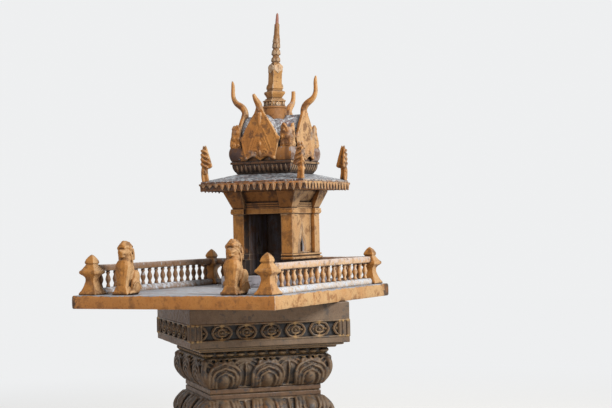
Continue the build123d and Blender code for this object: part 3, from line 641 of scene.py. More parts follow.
def spun(bm, profile, turns, corner=False):
    """Spins a profile of (half width, level) about the upright axis; 4 turns from a corner mitre a square."""
    reach = math.sqrt(2) if corner else 1.0
    outward = Vector((1, 1, 0)).normalized() if corner else Vector((1, 0, 0))
    known = set(bm.verts)
    chain = [bm.verts.new(outward * max(half * reach, 1e-4) + Vector((0, 0, z))) for half, z in profile]
    edges = [bm.edges.new(pair) for pair in zip(chain, chain[1:])]
    bmesh.ops.spin(bm, geom=chain + edges, axis=(0, 0, 1), cent=(0, 0, 0), angle=2 * math.pi, steps=turns,
                   use_merge=True)
    bmesh.ops.remove_doubles(bm, verts=[v for v in bm.verts if v not in known], dist=SAME_MM)
    rims = {e for v in bm.verts if v not in known for e in v.link_edges if e.is_boundary}
    bmesh.ops.holes_fill(bm, edges=list(rims), sides=0)


def mitred(bm, profile):
    spun(bm, profile, 4, True)


def piece(bm, name, finish, stands_for=(), place=house_place, smooth=38, voxel=None,
          relax=1, lumps=0.0):
    """Makes the bmesh a finished piece in its place. A voxel size first fuses it into one cast skin."""
    bmesh.ops.remove_doubles(bm, verts=bm.verts, dist=SAME_MM)
    bmesh.ops.recalc_face_normals(bm, faces=bm.faces)
    mesh = bpy.data.meshes.new(name)
    bm.to_mesh(mesh)
    bm.free()
    if voxel:
        rough = bpy.data.objects.new("rough", mesh)
        bpy.context.scene.collection.objects.link(rough)
        skin = rough.modifiers.new("skin", "REMESH")
        skin.mode, skin.voxel_size = "VOXEL", voxel
        soft = rough.modifiers.new("soft", "SMOOTH")
        soft.factor, soft.iterations = 0.5, relax
        cast = bpy.data.meshes.new_from_object(rough.evaluated_get(bpy.context.evaluated_depsgraph_get()))
        bpy.data.objects.remove(rough)
        bpy.data.meshes.remove(mesh)
        mesh = cast
        mesh.name = name
    if lumps:
        shaped = bmesh.new()
        shaped.from_mesh(mesh)
        for v in shaped.verts:
            v.co += v.normal * lumps * noise.fractal(v.co * 0.03, 1.0, 2.0, 3)
        shaped.to_mesh(mesh)
        shaped.free()
    mesh.transform(place)
    mesh.shade_smooth()
    mesh.set_sharp_from_angle(angle=math.radians(smooth))
    mesh.materials.clear()
    mesh.materials.append(finish)
    item = bpy.data.objects.new(name, mesh)
    bpy.context.scene.collection.objects.link(item)
    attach(item, "root")
    if stands_for:
        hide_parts(*stands_for)
    mesh.calc_loop_triangles()
    print(name, len(mesh.loop_triangles), "triangles")


def three_point(*points):
    """The smooth line x(z) through three (x, z) points."""
    def line(z):
        total = 0.0
        for i, (x, zi) in enumerate(points):
            others = [p[1] for j, p in enumerate(points) if j != i]
            total += x * math.prod((z - o) / (zi - o) for o in others)
        return total
    return line

# %% [markdown]
# ## Lotus mouldings
# The bell under the top block carries two rows of lotus petals. In front stand three wide
# petals a face, each an arch of nested ridges round a swelling, and behind them the tips of
# a second row show under the lip. The drawing is made flat, and each point is then moved
# out by the bell's own curve, which is how a carver wraps a paper pattern round the core.

# %% Draw one face of lotus petals and wrap it round the bell
LOTUS_HIGH = level("pedestal_top_lotus") - level("pedestal_top_lotus", False)
PETAL_PITCH, BAND_HALF, CORE_SINK, RELIEF_OUT, CORE_STEPS = 158.0, 260.0, 9.0, 3.0, 12
upper_bell = three_point((199, 0), (238, 0.6 * LOTUS_HIGH), (220, LOTUS_HIGH))
lower_bell = three_point((214, 0), (243, 0.52 * LOTUS_HIGH), (203, LOTUS_HIGH))


def arch(half, foot, top, point, depth=0.0):
    """Drawing points for an arch with a slight point."""
    rise = top - foot
    side = [(half * 0.26, top - point * 0.4), (half * 0.72, top - rise * 0.10), (half, foot + rise * 0.62),
            (half * 0.98, foot + rise * 0.35), (half * 0.86, foot)]
    return on_wall([(-x, z) for x, z in reversed(side)] + [(0, top + point)] + side, depth)


def lotus_face(bm):
    high = LOTUS_HIGH
    for k in (-1.5, -0.5, 0.5, 1.5):              # tips of the back row
        move = at(k * PETAL_PITCH, 0)
        stroke(bm, arch(56, 10, high - 8, 3), 4.2, matrix=move)
        stroke(bm, arch(38, 12, high - 19, 3, -2), 3.4, matrix=move)
        stroke(bm, on_wall([(0, 6), (0, 40), (0, 70), (0, 90)], -1), [3, 4, 5, 3], matrix=move)
        ball(bm, (k * PETAL_PITCH, 0, high * 0.62), (6, 5, 9))
    for k in (-1, 0, 1):
        move = at(k * PETAL_PITCH, 0)
        leaf(bm, both_sides([(50, 2), (56, 40), (46, 70), (0, 86)]), 6, 2, matrix=move @ FACE_ON)
        for half, share, point, depth, thick in ((59, 0.80, 8, 6, 5.8), (45, 0.65, 6, 8, 4.9),
                                                 (31, 0.50, 5, 9, 4.4)):
            stroke(bm, arch(half, 2, high * share, point, depth), thick, matrix=move)
        ball(bm, (k * PETAL_PITCH, -2, 24), (21, 13, 30))
        for side in (-1, 1):
            hook = [(side * x, high * share)
                    for x, share in ((8, 0.80), (20, 0.90), (34, 0.86), (36, 0.76), (26, 0.74))]
            stroke(bm, on_wall(hook, 6), [4.4, 4.4, 4, 3.4, 3], matrix=move)
        ball(bm, (k * PETAL_PITCH, -7, high * 0.86), (7, 6, 9))
    for z, depth, thick in ((2, 2, 4.5), (high - 4, 1, 5.0)):
        stroke(bm, on_wall([(x, z) for x in (-BAND_HALF, -90, 90, BAND_HALF)], depth), thick)


def lotus_bell(name, node, bell, upward):
    face = bmesh.new()
    lotus_face(face)
    for v in face.verts:
        z = v.co.z if upward else LOTUS_HIGH - v.co.z
        v.co = Vector((v.co.x, v.co.y - bell(z) + RELIEF_OUT, z))
    for side in (-1, 1):       # the mitre at each corner
        trim(face, (0, 0, 0), (side, 1, 0))
    repeat(face, QUARTERS)
    mitred(face, [(bell(LOTUS_HIGH * i / CORE_STEPS) - CORE_SINK, LOTUS_HIGH * i / CORE_STEPS)
                  for i in range(CORE_STEPS + 1)])
    corner = [(bell(LOTUS_HIGH * s) - 4, LOTUS_HIGH * s) for s in (0.04, 0.25, 0.5, 0.75, 0.95)]
    tip = LOTUS_HIGH * (0.86 if upward else 0.14)
    if not upward:
        corner.reverse()
    for matrix in QUARTERS:    # a plain leaf folds over each corner and curls at its tip
        stroke(face, [(h, h, z) for h, z in corner], [7, 10, 12, 11, 9], matrix=matrix)
        ball(face, matrix @ Vector((bell(tip) - 4, bell(tip) - 4, tip)), (13, 13, 11))
    piece(face, name, bronze_carved, (node,), pedestal_place @ at(0, 0, level(node, False)),
          smooth=60, voxel=3.2)


lotus_bell("upper_lotus", "pedestal_top_lotus", upper_bell, True)
lotus_bell("lower_lotus", "pedestal_base_lotus", lower_bell, False)

# %% [markdown]
# ## Rosettes, frames and beads
# The sunk frieze holds scroll flowers: a four-lobed ring round a smaller ring and an eye.
# At each end of a face the row stops against a frame of two upright ribs, and half a flower
# shows beside it. One flower is drawn and repeated, since the mould was pressed again and
# again, and a plane trims the ones at the ends.

# %% Rosettes and the ribs beside them
FRIEZE_SUNK, FRIEZE_END, FRAME_OVER, BLOCK_FACE, ROSETTE_PITCH = 12.0, 247.0, 3.5, 290.0, 88.4


def rosette(bm):
    ring = both_sides([(0, -27), (8, -23), (22, -22), (29, -12), (37, 0), (29, 12), (22, 22), (8, 23),
                       (0, 27)])
    stroke(bm, on_wall(ring, 7), 4.8, closed=True, sides=1, fine=2)
    stroke(bm, on_wall([(15, 0), (10, 11), (-3, 15), (-15, 5), (-13, -10), (0, -14), (12, -10)], 8),
           [4, 4, 4, 3.5, 3.5, 3, 2.5], sides=1, fine=3)
    ball(bm, (0, -7, 0), (7, 7, 6), rows=5)
    ball(bm, (0, 0, 0), (33, 7, 24), rows=6)
    for x, z in ((24, 0), (-24, 0), (0, 19), (0, -19)):
        ball(bm, (x, -5, z), (6, 6, 5), rows=4)


def rosette_rows(name, node):
    low, high = level(node, False), level(node)
    mid_z, half = (low + high) / 2, (high - low) / 2 + FRAME_OVER
    bm = bmesh.new()
    rosette(bm)
    repeat(bm, [at(k * ROSETTE_PITCH, -(BLOCK_FACE - FRIEZE_SUNK), mid_z) for k in range(-3, 4)])
    for side in (-1, 1):
        trim(bm, (side * (FRIEZE_END + 1), 0, 0), (side, 0, 0))
    for side in (-1, 1):
        for x, thick in ((252, 4.2), (264, 4.2), (281, 5.5)):
            stroke(bm, [(side * x, -BLOCK_FACE + 1, mid_z + end) for end in (-half, half)], thick)
    for z in (mid_z - half, mid_z + half):
        stroke(bm, [(x, -BLOCK_FACE + 1.5, z) for x in (-286, 286)], 4.0)
    repeat(bm, QUARTERS)
    piece(bm, name, bronze_carved, (node,), pedestal_place, smooth=50)


rosette_rows("upper_rosettes", "top_rosettes")
rosette_rows("lower_rosettes", "base_rosettes")

# %% Steps with a course of beads
BEADS_A_SIDE, BEAD_PITCH = 12, 38.0
STEP_PROFILE = [(219, 0), (227, 1.5), (221, 4), (221, 18), (228, 21), (246, 22), (250, 24), (251, 29.5),
                (262, 31), (271, 33), (272, 36), (271, 39.8), (219, 40)]


def bead_steps(name, node, upward):
    base, top = level(node, False), level(node)
    bm, row = bmesh.new(), bmesh.new()
    mitred(bm, STEP_PROFILE)
    for k in range(BEADS_A_SIDE):
        ball(row, ((k - (BEADS_A_SIDE - 1) / 2) * BEAD_PITCH, -223, 11), (15.5, 11, 8.5), rows=6)
    stamp(bm, row, QUARTERS)
    if not upward:
        shift(bm, at(0, 0, top - base) @ Matrix.Diagonal((1, 1, -1, 1)))
    # the bead steps wear the lighter bronze, which is painted light
    piece(bm, name, bronze_painted_lit, (node,), pedestal_place @ at(0, 0, base), smooth=40)


bead_steps("upper_bead_steps", "pedestal_top_steps", True)
bead_steps("lower_bead_steps", "pedestal_base_steps", False)
soften(("pedestal_top_block", "pedestal_base_block", "pedestal_waist", "ground_plinth"), 3.0)

# %% [markdown]
# ## Guardian lions
# Two seated lions watch the open front. Each is a small casting, 190 mm tall: a smooth
# upright chest on straight front legs, a paw block, round haunches, and a head with a
# pointed mane combed in waves. Such a rounded figure could be sculpted from a subdivided
# box, but building it from eggs, tapers and combed ridges and fusing them is nearer to how
# the clay was put together, and keeps the ridges crisp.

# %% One lion, then a pair
PAW_HIGH, PAW_MIDDLE = 31, -22


def lion(bm):
    for v in block(bm, (-33, -44, 0), (33, -3, PAW_HIGH), 4):       # the paw block, wide at the foot
        rise = v.co.z / PAW_HIGH
        v.co.x, v.co.y = v.co.x * (1 - 0.38 * rise), PAW_MIDDLE + (v.co.y - PAW_MIDDLE) * (1 - 0.3 * rise)
    for side in (-1, 1):
        stroke(bm, [(side * 9, -23, 8), (side * 9, -23, 40), (side * 12.5, -21, 70), (side * 15, -15, 100)],
               [12.5, 12, 16, 18])
        for toe in (-7, 0, 7):                                      # front paws with toes
            ball(bm, (side * 15 + toe, -40, 9), (3.6, 4, 5), rows=6)
        ball(bm, (side * 27, 14, 30), (15, 28, 34))                 # haunch
        ball(bm, (side * 28, 18, 62), (12, 19, 24))
        ball(bm, (side * 31, -12, 8), (10, 22, 8))                  # hind foot
        for toe in (-5, 1, 7):
            ball(bm, (side * 30 + toe, -32, 6), (3.4, 5, 5), rows=6)
        stroke(bm, [(side * 41, 34, 16), (side * 43, 20, 46), (side * 42, 0, 54), (side * 38, -12, 30)],
               [1.5, 3, 3, 1.5])
    ball(bm, (0, -23, 56), (15, 15, 48))                            # the breast, between the legs
    ball(bm, (0, -14, 93), (33, 23, 34))                            # full smooth chest
    ball(bm, (0, 4, 72), (29, 25, 60))                              # back
    ball(bm, (0, 16, 30), (30, 28, 34))
    ball(bm, (0, -4, 150), (26, 24, 27))                            # head
    ball(bm, (0, 2, 126), (27, 24, 22))                             # ruff of the mane
    stroke(bm, [(0, -2, 156), (0, 0, 169), (0, 1, 179), (0, 2, 187)], [22, 18, 12, 4])   # its pointed crown
    ball(bm, (0, -26, 148), (15, 13, 10))                           # muzzle, open in a grin
    ball(bm, (0, -23, 134), (12, 11, 7))
    ball(bm, (0, -38, 153), (6, 4, 4), rows=6)
    stroke(bm, [(-18, -18, 147), (-12, -32, 141), (0, -37, 139.5), (12, -32, 141), (18, -18, 147)], 1.9)
    for side in (-1, 1):
        ball(bm, (side * 11, -24, 163), (5.5, 5, 4.8), rows=6)      # eyes under a heavy brow
        stroke(bm, [(side * 1, -26, 164), (side * 8, -27, 170), (side * 17, -20, 168), (side * 24, -10, 160)],
               [3, 3.6, 3.4, 2])
        ball(bm, (side * 25, -7, 161), (5, 7, 8), rows=6)           # round ear
        stroke(bm, [(side * 22, -12, 152), (side * 25, -6, 143), (side * 25, -2, 132), (side * 27, 0, 116),
                    (side * 28, 0, 98)], [3, 4, 4.2, 4, 2])
        for z, reach in ((168, 25), (174, 20), (180, 14)):          # combed waves round the crown
            stroke(bm, [(0, -reach - 1, z + 6), (side * reach * 0.5, -reach * 0.92, z - 1),
                        (side * reach * 1.02, -reach * 0.3, z + 3), (side * reach * 0.8, reach * 0.7, z - 3),
                        (0, reach + 2, z - 4)], [4, 4, 4.2, 4, 3.4])
        for k in range(4):                                          # wavy locks down the back of the neck
            x, y = side * (27 - 6 * k), 4 + 8 * k
            stroke(bm, [(x * 0.95, y, 160 - 2 * k), (x * 1.06, y + 1, 146), (x, y + 4, 133),
                        (x * 1.04, y + 5, 120)],
                   [4, 5, 4.6, 2.4])
    stroke(bm, [(0, 30, 140), (0, 31, 116), (0, 28, 92), (0, 27, 70)], [5, 6, 5, 3])
    stroke(bm, [(10, 40, 6), (26, 42, 10), (22, 40, 34), (6, 36, 50), (4, 33, 66)],
           [5, 5, 4.5, 4, 6])   # tail


def on_platform(node):
    """The place on the platform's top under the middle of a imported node."""
    spot = (middle(node) - platform_place.translation) / MM
    return platform_place @ at(spot.x, spot.y)


for name in ("left", "right"):
    bm = bmesh.new()
    lion(bm)
    piece(bm, "guardian_lion_" + name, gold, ("lion_" + name,), on_platform("lion_" + name), smooth=80,
          voxel=1.9)

# %% [markdown]
# ## The platform slab
# The slab was cast flat in a wooden form: straight sides, a trowelled top, and arrises that
# have crumbled. A grid gives its top, and each ring of edges drawn down from it makes a
# band of the side, so the crumbled arris can wander without touching the flat faces.

# %% Slab with crumbled edges
# Each ring down the side: level, how far in from the straight edge, how much it wanders.
SLAB_RINGS = [(0.0, 2.6, 2.2), (-4.5, 0.6, 0.8), (-14.0, 0.2, 0.4), (-33.0, 0.2, 0.4), (-43.0, 0.6, 0.8),
              (-47.0, 2.6, 2.2)]
SLAB_CELLS, BITE_MM, TOP_DIP, TOP_MARGIN = (56, 64), 14, 0.6, 8
slab_w, slab_l = (slab_high - slab_low).x / 2 / MM, (slab_high - slab_low).y / 2 / MM


def crumble(ring, depth, inset, amount):
    """Sets one ring of points in from the slab's edge by an uneven amount."""
    for v in ring:
        spot = Vector((v.co.x, v.co.y, depth))
        bite = max(0.0, noise.noise(spot * 0.022) - 0.25) * BITE_MM * (amount > 1)
        back = inset + bite + amount * (0.5 + noise.noise(spot * 0.09))
        for axis, limit in ((0, slab_w), (1, slab_l)):
            if abs(v.co[axis]) > limit - SAME_MM:
                v.co[axis] = math.copysign(limit - back, v.co[axis])
        v.co.z = depth - (0.8 if amount > 1 and depth == 0 else 0)


bm = bmesh.new()
bmesh.ops.create_grid(bm, x_segments=SLAB_CELLS[0], y_segments=SLAB_CELLS[1], size=1.0,
                      matrix=Matrix.Diagonal((slab_w, slab_l, 1, 1)))
rim_edges = [e for e in bm.edges if e.is_boundary]
rings = [list({v for e in rim_edges for v in e.verts})]
for _ in SLAB_RINGS[1:]:
    fresh = bmesh.ops.extrude_edge_only(bm, edges=rim_edges)["geom"]
    rim_edges = [g for g in fresh if isinstance(g, bmesh.types.BMEdge)]
    rings.append([g for g in fresh if isinstance(g, bmesh.types.BMVert)])
for ring, settings in zip(rings, SLAB_RINGS):
    crumble(ring, *settings)
fill_rims(bm)
for v in bm.verts:
    if v.co.z > -SAME_MM and abs(v.co.x) < slab_w - TOP_MARGIN and abs(v.co.y) < slab_l - TOP_MARGIN:
        v.co.z -= TOP_DIP * (0.5 + noise.noise(v.co * 0.02))
piece(bm, "slab", slab_paint, ("platform_slab",), platform_place, smooth=50)

# %% [markdown]
# ## Posts, rails and vases
# The corner posts are square and waisted, with a flared cap and a bud. They were trowelled by
# hand, so their arrises are soft: a mitred profile, fused and smoothed, gives that. The
# vases between curb and rail are turned shapes, small and many, so they stay light.

# %% Corner posts
POST_PROFILE = [(35.5, 0), (36, 3), (35, 7), (28.5, 15), (24, 26), (20.5, 37), (18, 47), (17.8, 56),
                (19.8, 63), (24.5, 68.5), (29.5, 72), (33, 75), (33.6, 78), (33.4, 83), (28, 87.5),
                (23.5, 94), (19, 101), (15.6, 106), (15.4, 108.5), (18.6, 109.6), (19, 112.5), (18, 118),
                (15, 125), (10.6, 132), (5.4, 138), (0.5, 141.5)]
POST_INSET, POST_LUMPS = 52, 0.9
post_x, post_y = slab_w - POST_INSET, slab_l - POST_INSET
bm = bmesh.new()
mitred(bm, POST_PROFILE)
repeat(bm, [at(sx * post_x, sy * post_y) @ quarter
            for (sx, sy), quarter in zip(((-1, -1), (1, -1), (1, 1), (-1, 1)), QUARTERS)])
piece(bm, "rail_posts", gold, ("corner_posts",), platform_place, smooth=60, voxel=2.1, relax=2,
      lumps=POST_LUMPS)

# %% Curb, vases and rail on each railed side
VASE = [(8, 0), (8.2, 4), (7.2, 9), (5.6, 13), (5.4, 16), (7.8, 22), (10, 29), (9.8, 33), (7.8, 40),
        (5.6, 46), (5.4, 49), (7.6, 53), (7.8, 56), (6.2, 58.5), (8, 60.5), (8, 63)]
CURB_SECTION = [(-22, 0), (-22.4, 3), (-20.5, 9), (-15.5, 19), (-11, 22), (11, 22), (15.5, 19), (20.5, 9),
                (22.4, 3), (22, 0)]
RAIL_SECTION = [(-13, 82), (-15, 84), (-15.3, 92), (-15, 100), (-12, 103.6), (0, 104.4), (12, 103.6),
                (15, 100), (15.3, 92), (15, 84), (13, 82)]
VASE_FOOT, BAR_WANDER, BAR_CUT, POST_GAP = 20.0, 1.1, 16, 58


def long_bar(bm, half, section):
    """A bar along X with the given section (y, z), cut into short lengths so that its arris can wander."""
    made = [bm.faces.new([bm.verts.new((-half, y, z)) for y, z in section])]
    cuts = max(2, round(half / BAR_CUT))
    for _ in range(cuts):
        fresh = bmesh.ops.extrude_face_region(bm, geom=[made[-1]])["geom"]
        made.append(next(g for g in fresh if isinstance(g, bmesh.types.BMFace)))
        bmesh.ops.translate(bm, verts=made[-1].verts[:], vec=(2 * half / cuts, 0, 0))
    bmesh.ops.delete(bm, geom=made[1:-1], context="FACES_ONLY")
    for v in bm.verts:
        v.co += Vector((0, noise.noise(v.co * 0.05),
                        noise.noise(v.co * 0.043 + Vector((9, 0, 0))))) * BAR_WANDER


def railing(side, span, count, angle):
    rail, curb, vases = bmesh.new(), bmesh.new(), bmesh.new()
    long_bar(curb, span / 2, CURB_SECTION)
    long_bar(rail, span / 2, RAIL_SECTION)
    spun(vases, VASE, 10)
    stamp(rail, vases, [at((k - (count - 1) / 2) * span / count, 0, VASE_FOOT) for k in range(count)])
    for part in (rail, curb):
        shift(part, turned_by(angle))
    place = on_platform("balustrade_" + side)
    piece(curb, "curb_" + side, curb_white, (), place, smooth=40)
    piece(rail, "railing_" + side, rail_gold, ("balustrade_" + side,), place, smooth=40)


side_span, back_span = 2 * post_y - POST_GAP, 2 * post_x - POST_GAP
railing("left", side_span, 17, 90)
railing("right", side_span, 17, 90)
railing("back", back_span, 14, 0)

# %% [markdown]
# ## The shrine's body
# Walls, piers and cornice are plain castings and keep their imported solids, softened a
# little. What the mould adds to them is built here: the rounded base moulding, the swollen
# capitals on the piers, and the flame-shaped ridges round the window slits.

# %% Base moulding round three sides and beside the door
DOOR_HALF = 78.0
BASE_SECTION = [(78, 0), (126, 0), (130, 1.5), (131, 5), (129.5, 8.5), (124, 10), (122.5, 12), (124, 14),
                (127.5, 15), (128.5, 17.5), (127, 20.5), (123.2, 21), (78, 21)]


def wall_run(bm, section, gap, matrix):
    """A moulding along one wall, mitred at both corners; a gap leaves the doorway open."""
    for side in ((-1, 1) if gap else (1,)):
        start = bm.faces.new([bm.verts.new((side * h if gap else -h, -h, z)) for h, z in section])
        fresh = bmesh.ops.extrude_face_region(bm, geom=[start])["geom"]
        fresh = [g for g in fresh if isinstance(g, bmesh.types.BMVert)]
        for v in fresh:
            v.co.x = side * gap if gap else -v.co.x
        shift(bm, matrix, list(set(start.verts) | set(fresh)))


base_low = level("base_band_back", False, DECK)
bm = bmesh.new()
for matrix, gap in zip(QUARTERS, (DOOR_HALF, None, None, None)):
    wall_run(bm, [(h, z + base_low) for h, z in BASE_SECTION], gap, matrix)
piece(bm, "base_moulding", shrine_gold, ("base_band_back", "base_band_left", "base_band_right"), smooth=30)

# %% Capitals on the four piers
PIER_INNER = 77
bm, one = bmesh.new(), bmesh.new()
for low, high, out, edge in ((272, 275.5, 126, 1.6), (275.5, 287, 131, 4.5), (287, 293.6, 128, 2)):
    block(one, (PIER_INNER, PIER_INNER, low), (out, out, high), edge)
stamp(bm, one, QUARTERS)
for matrix in QUARTERS:      # a narrow bead under each capital
    stroke(bm, [(79, -126, 268), (126, -126, 268), (126, -79, 268)], 2.0, matrix=matrix)
piece(bm, "pier_capitals", gold, smooth=30)

# %% Ridges round the window slits, and thin ribs on the side walls
WALL_FACE, RIB_AT = 105.0, 75
bm = bmesh.new()
for matrix in (QUARTERS[1], QUARTERS[3]):
    for out, thick in ((5, 2.4), (12, 2.2), (19, 2.0)):
        side = [(0.5, 214 + out * 1.5), (5 + out * 0.75, 196), (13 + out * 0.95, 172), (19.5 + out, 147),
                (14 + out, 124)]
        flame_line = [(-x, z) for x, z in reversed(side)] + side
        stroke(bm, on_wall(flame_line, WALL_FACE), thick, matrix=matrix)
    stroke(bm, on_wall([(0, 230), (-2, 244), (3, 252), (0, 262)], WALL_FACE), [3, 3, 2, 1], matrix=matrix)
    stroke(bm, on_wall([(-60, 126), (60, 126)], WALL_FACE), 2.6, matrix=matrix)
for matrix in QUARTERS[1:]:
    for x in (-RIB_AT, RIB_AT):
        stroke(bm, on_wall([(x, 125), (x, 272)], WALL_FACE), 2.4, matrix=matrix)
piece(bm, "window_flame_ridges", gold, smooth=60)
soften(("house_plinth", "dado_back", "dado_left", "dado_right", "corner_piers", "wall_back", "wall_left",
        "wall_right", "capital_slab"), 1.6)
soften(("cornice",), 1.0, 1)

# %% [markdown]
# ## Hanging petals and eaves flames
# A row of tongue-shaped petals hangs round the roof's edge. One petal is drawn as a leaf
# with a ridge and repeated, as the mould maker did. At each corner stands a flame: two wings
# folded round the corner, one along each fascia, with wavy ridges and a curl at the foot.

# %% One petal, then a row on each side
ROOF_X, ROOF_Y, PETAL_TOP, PETAL_OUT = 213.0, 206.0, 387.0, 3
PETALS_FRONT, PETALS_SIDE = 16, 15
WORN_DROPS = [0.42, 0.5, 0.45, 0.7]       # the damp end has lost the tips of its tongues


def petal_row(half, face, count):
    row = bmesh.new()
    pitch = 2 * half / count
    tongue = [(pitch * 0.31, -4), (pitch * 0.30, -12), (pitch * 0.19, -23), (0, -31.5, 1)]
    leaf(row, both_sides(tongue), 5.5, 1.6, fine=2)
    stroke(row, on_wall([(0, -6), (0, -18), (0, -29)], 2.2), [2.6, 2.4, 1.0], sides=1, fine=2)
    drops = [1.0 - 0.22 * (noise.noise(Vector((k * 1.7, face, 0))) + 0.5) for k in range(count)]
    if face == ROOF_Y:
        drops[:len(WORN_DROPS)] = WORN_DROPS
    repeat(row, [at((k - (count - 1) / 2) * pitch, -(face + PETAL_OUT), PETAL_TOP)
                 @ Matrix.Diagonal((1, 1, drop, 1)) for k, drop in enumerate(drops)])
    return row


bm, ground = bmesh.new(), bmesh.new()     # the tongues under their band, and a dark sunk ground between them, painted shade
fascias = ((ROOF_X, ROOF_Y, PETALS_FRONT), (ROOF_Y, ROOF_X, PETALS_SIDE)) * 2
for quarter, (half, face, count) in zip(QUARTERS, fascias):
    stamp(bm, petal_row(half, face, count), [quarter])
    shift(ground, quarter, block(ground, (-half, -face - 1.5, PETAL_TOP - 25), (half, -face, PETAL_TOP - 4)))
    low, high = (-half - 5, -(face + 5.5), PETAL_TOP - 5), (half + 5, -face + 2, PETAL_TOP + 3)
    shift(bm, quarter, block(bm, low, high, 1.5, 1))
piece(bm, "hanging_petals", fringe_gold, ("petal_fringe",), smooth=50)
piece(ground, "fringe_shade_ground", fringe_shade_sheet)
soften(("eaves_roof",), 1.5)

# %% Eaves flames
FLAME_ON, FLAME_INSET, SIDE_WING = 397.0, 3, 0.62
CURL_STEPS, CURL_TURNS, CURL_CLOSE = 9, 1.15, 0.82
FLAME_RIM = [(0, -6), (30, -6), (30, 4), (27, 22), (25, 40), (27, 49), (36, 50), (48, 57, 1), (45, 68),
             (42, 76), (37, 92), (30, 110), (24, 127), (17, 142, 1), (10, 130), (4, 106), (0, 82), (-2.5, 58),
             (0, 25)]
FLAME_RIDGES = [((7, 122), (13, 114), (20, 115), (26, 108)), ((3, 106), (11, 95), (21, 97), (31, 88)),
                ((1, 89), (10, 77), (22, 79), (35, 69)), ((0, 71), (10, 60), (20, 61), (28, 53))]


def curl(bm, x, z, radius, spin, start, thick, end=2, depth=0.0):
    """A scroll that winds in to its eye."""
    points = []
    for i in range(CURL_STEPS):
        t = i / (CURL_STEPS - 1)
        angle, r = math.radians(start) + spin * CURL_TURNS * 2 * math.pi * t, radius * (1 - CURL_CLOSE * t)
        points.append((x + r * math.cos(angle), z + r * math.sin(angle), depth))
    stroke(bm, on_wall(points), [thick] * (CURL_STEPS - 1) + [end])


def flame_wing(bm, wide):
    """One wing on a wall facing -Y: X runs in from the corner, Z is up from the fascia."""
    inner = [((16 + (p[0] - 16) * 0.84) * wide, 60 + (p[1] - 60) * 0.97, *p[2:]) for p in FLAME_RIM]
    leaf(bm, inner, 9, 2.6, matrix=at(0, 6.5) @ FACE_ON)
    for line in FLAME_RIDGES:
        stroke(bm, on_wall([(x * wide, z) for x, z in line], 0.9), [3.4, 4.4, 4.4, 2.6])
    curl(bm, 14 * wide, 38, 9 * wide, 1, 100, 3.2, depth=1.0)


bm, side = bmesh.new(), bmesh.new()       # both wings of the near right corner; the others are its mirrors
flame_wing(bm, 1.0)
shift(bm, Matrix.Diagonal((-1, 1, 1, 1)))
flame_wing(side, SIDE_WING)
stamp(bm, side, [turned_by(90)])
ball(bm, (-4, 4, 30), (7, 7, 34))
ball(bm, (-5, 5, 84), (7, 7, 40))
corner = at(ROOF_X - FLAME_INSET, -(ROOF_Y - FLAME_INSET), FLAME_ON)
repeat(bm, [Matrix.Diagonal((sx, sy, 1, 1)) @ corner for sx in (1, -1) for sy in (1, -1)])
piece(bm, "eaves_corner_flames", gold_high, ("eaves_flames",), smooth=80, voxel=1.7)

# %% [markdown]
# ## The upper tier
# Above the roof the shrine repeats itself small: a bowl with upright petals, a bulging hull,
# four leaf-shaped gables that run up into horns, and a mass of curls over each corner. The
# gable is one leaf with its motif in ridges. Its horn is drawn in the same piece, since on
# the real one there is no joint between them.

# %% Upright petals round the bowl
TIER_FOOT, BOWL_TOP = 424.0, 462.0
BOWL_PETALS, BOWL_PITCH = 12, 18.4
bowl = three_point((104, TIER_FOOT), (118, 440), (122, BOWL_TOP))
bm, petal = bmesh.new(), bmesh.new()
leaf(petal, both_sides([(4, 427), (5.6, 440), (3.4, 452), (0, 460, 1)]), 6, 1.8, fine=2)
stroke(petal, on_wall([(0, 428), (0, 444), (0, 456)], 2.5), [1.6, 2.4, 1.0], sides=1, fine=2)
stamp(bm, petal, [at((k - (BOWL_PETALS - 1) / 2) * BOWL_PITCH, 0) for k in range(BOWL_PETALS)])
stroke(bm, on_wall([(-106, 427), (106, 427)], 1), 3.0)
for v in bm.verts:
    v.co.y -= bowl(v.co.z)
repeat(bm, QUARTERS)
mitred(bm, [(122, 461), (126.6, 462), (127.2, 466), (126.6, 470), (121, 472)])
piece(bm, "bowl_petals", bowl_gold, smooth=40)

# %% Gables with their horns
GABLE_FACE, GABLE_SEAT = 133.0, 7.5       # from the axis to a gable's face, and from there to its middle
GABLE_RIM = [(0, 473, 1), (30, 487), (52, 484), (58, 474), (66, 500), (73, 528), (79, 544), (87, 559, 1),
             (78, 563), (69, 574), (56, 597), (42, 619), (29, 638), (19, 656), (11, 680, 1)]
# Each ridge of the relief, drawn on the right half: thickness, how far it stands out, its line.
GABLE_RIDGES = [
    (5.2, 3.0, [(60, 484), (66, 508), (73, 536), (72, 556), (60, 582), (45, 607), (30, 630), (17, 650)]),
    # Veins along the rim.
    (3.6, 3.8, [(61, 500), (64, 524), (58, 552), (44, 580), (30, 606), (14, 636)]),
    (3.4, 4.0, [(56, 512), (52, 540), (40, 568), (26, 594), (12, 616)]),
    # Nested arches.
    (4.4, 4.6, [(52, 494), (45, 520), (36, 544), (24, 572), (11, 596), (0, 610)]),
    (4.0, 4.8, [(38, 506), (30, 530), (21, 552), (12, 568), (0, 584)]),
    (3.8, 5.0, [(25, 520), (20, 538), (13, 552), (0, 560)]),
    # The brow of the mask, and its curling lip.
    (4.0, 6.0, [(5, 498), (9, 510), (19, 515), (29, 510), (33, 498)]),
    (5.2, 6.0, [(4, 486), (16, 491), (30, 495), (44, 488), (56, 480)])]
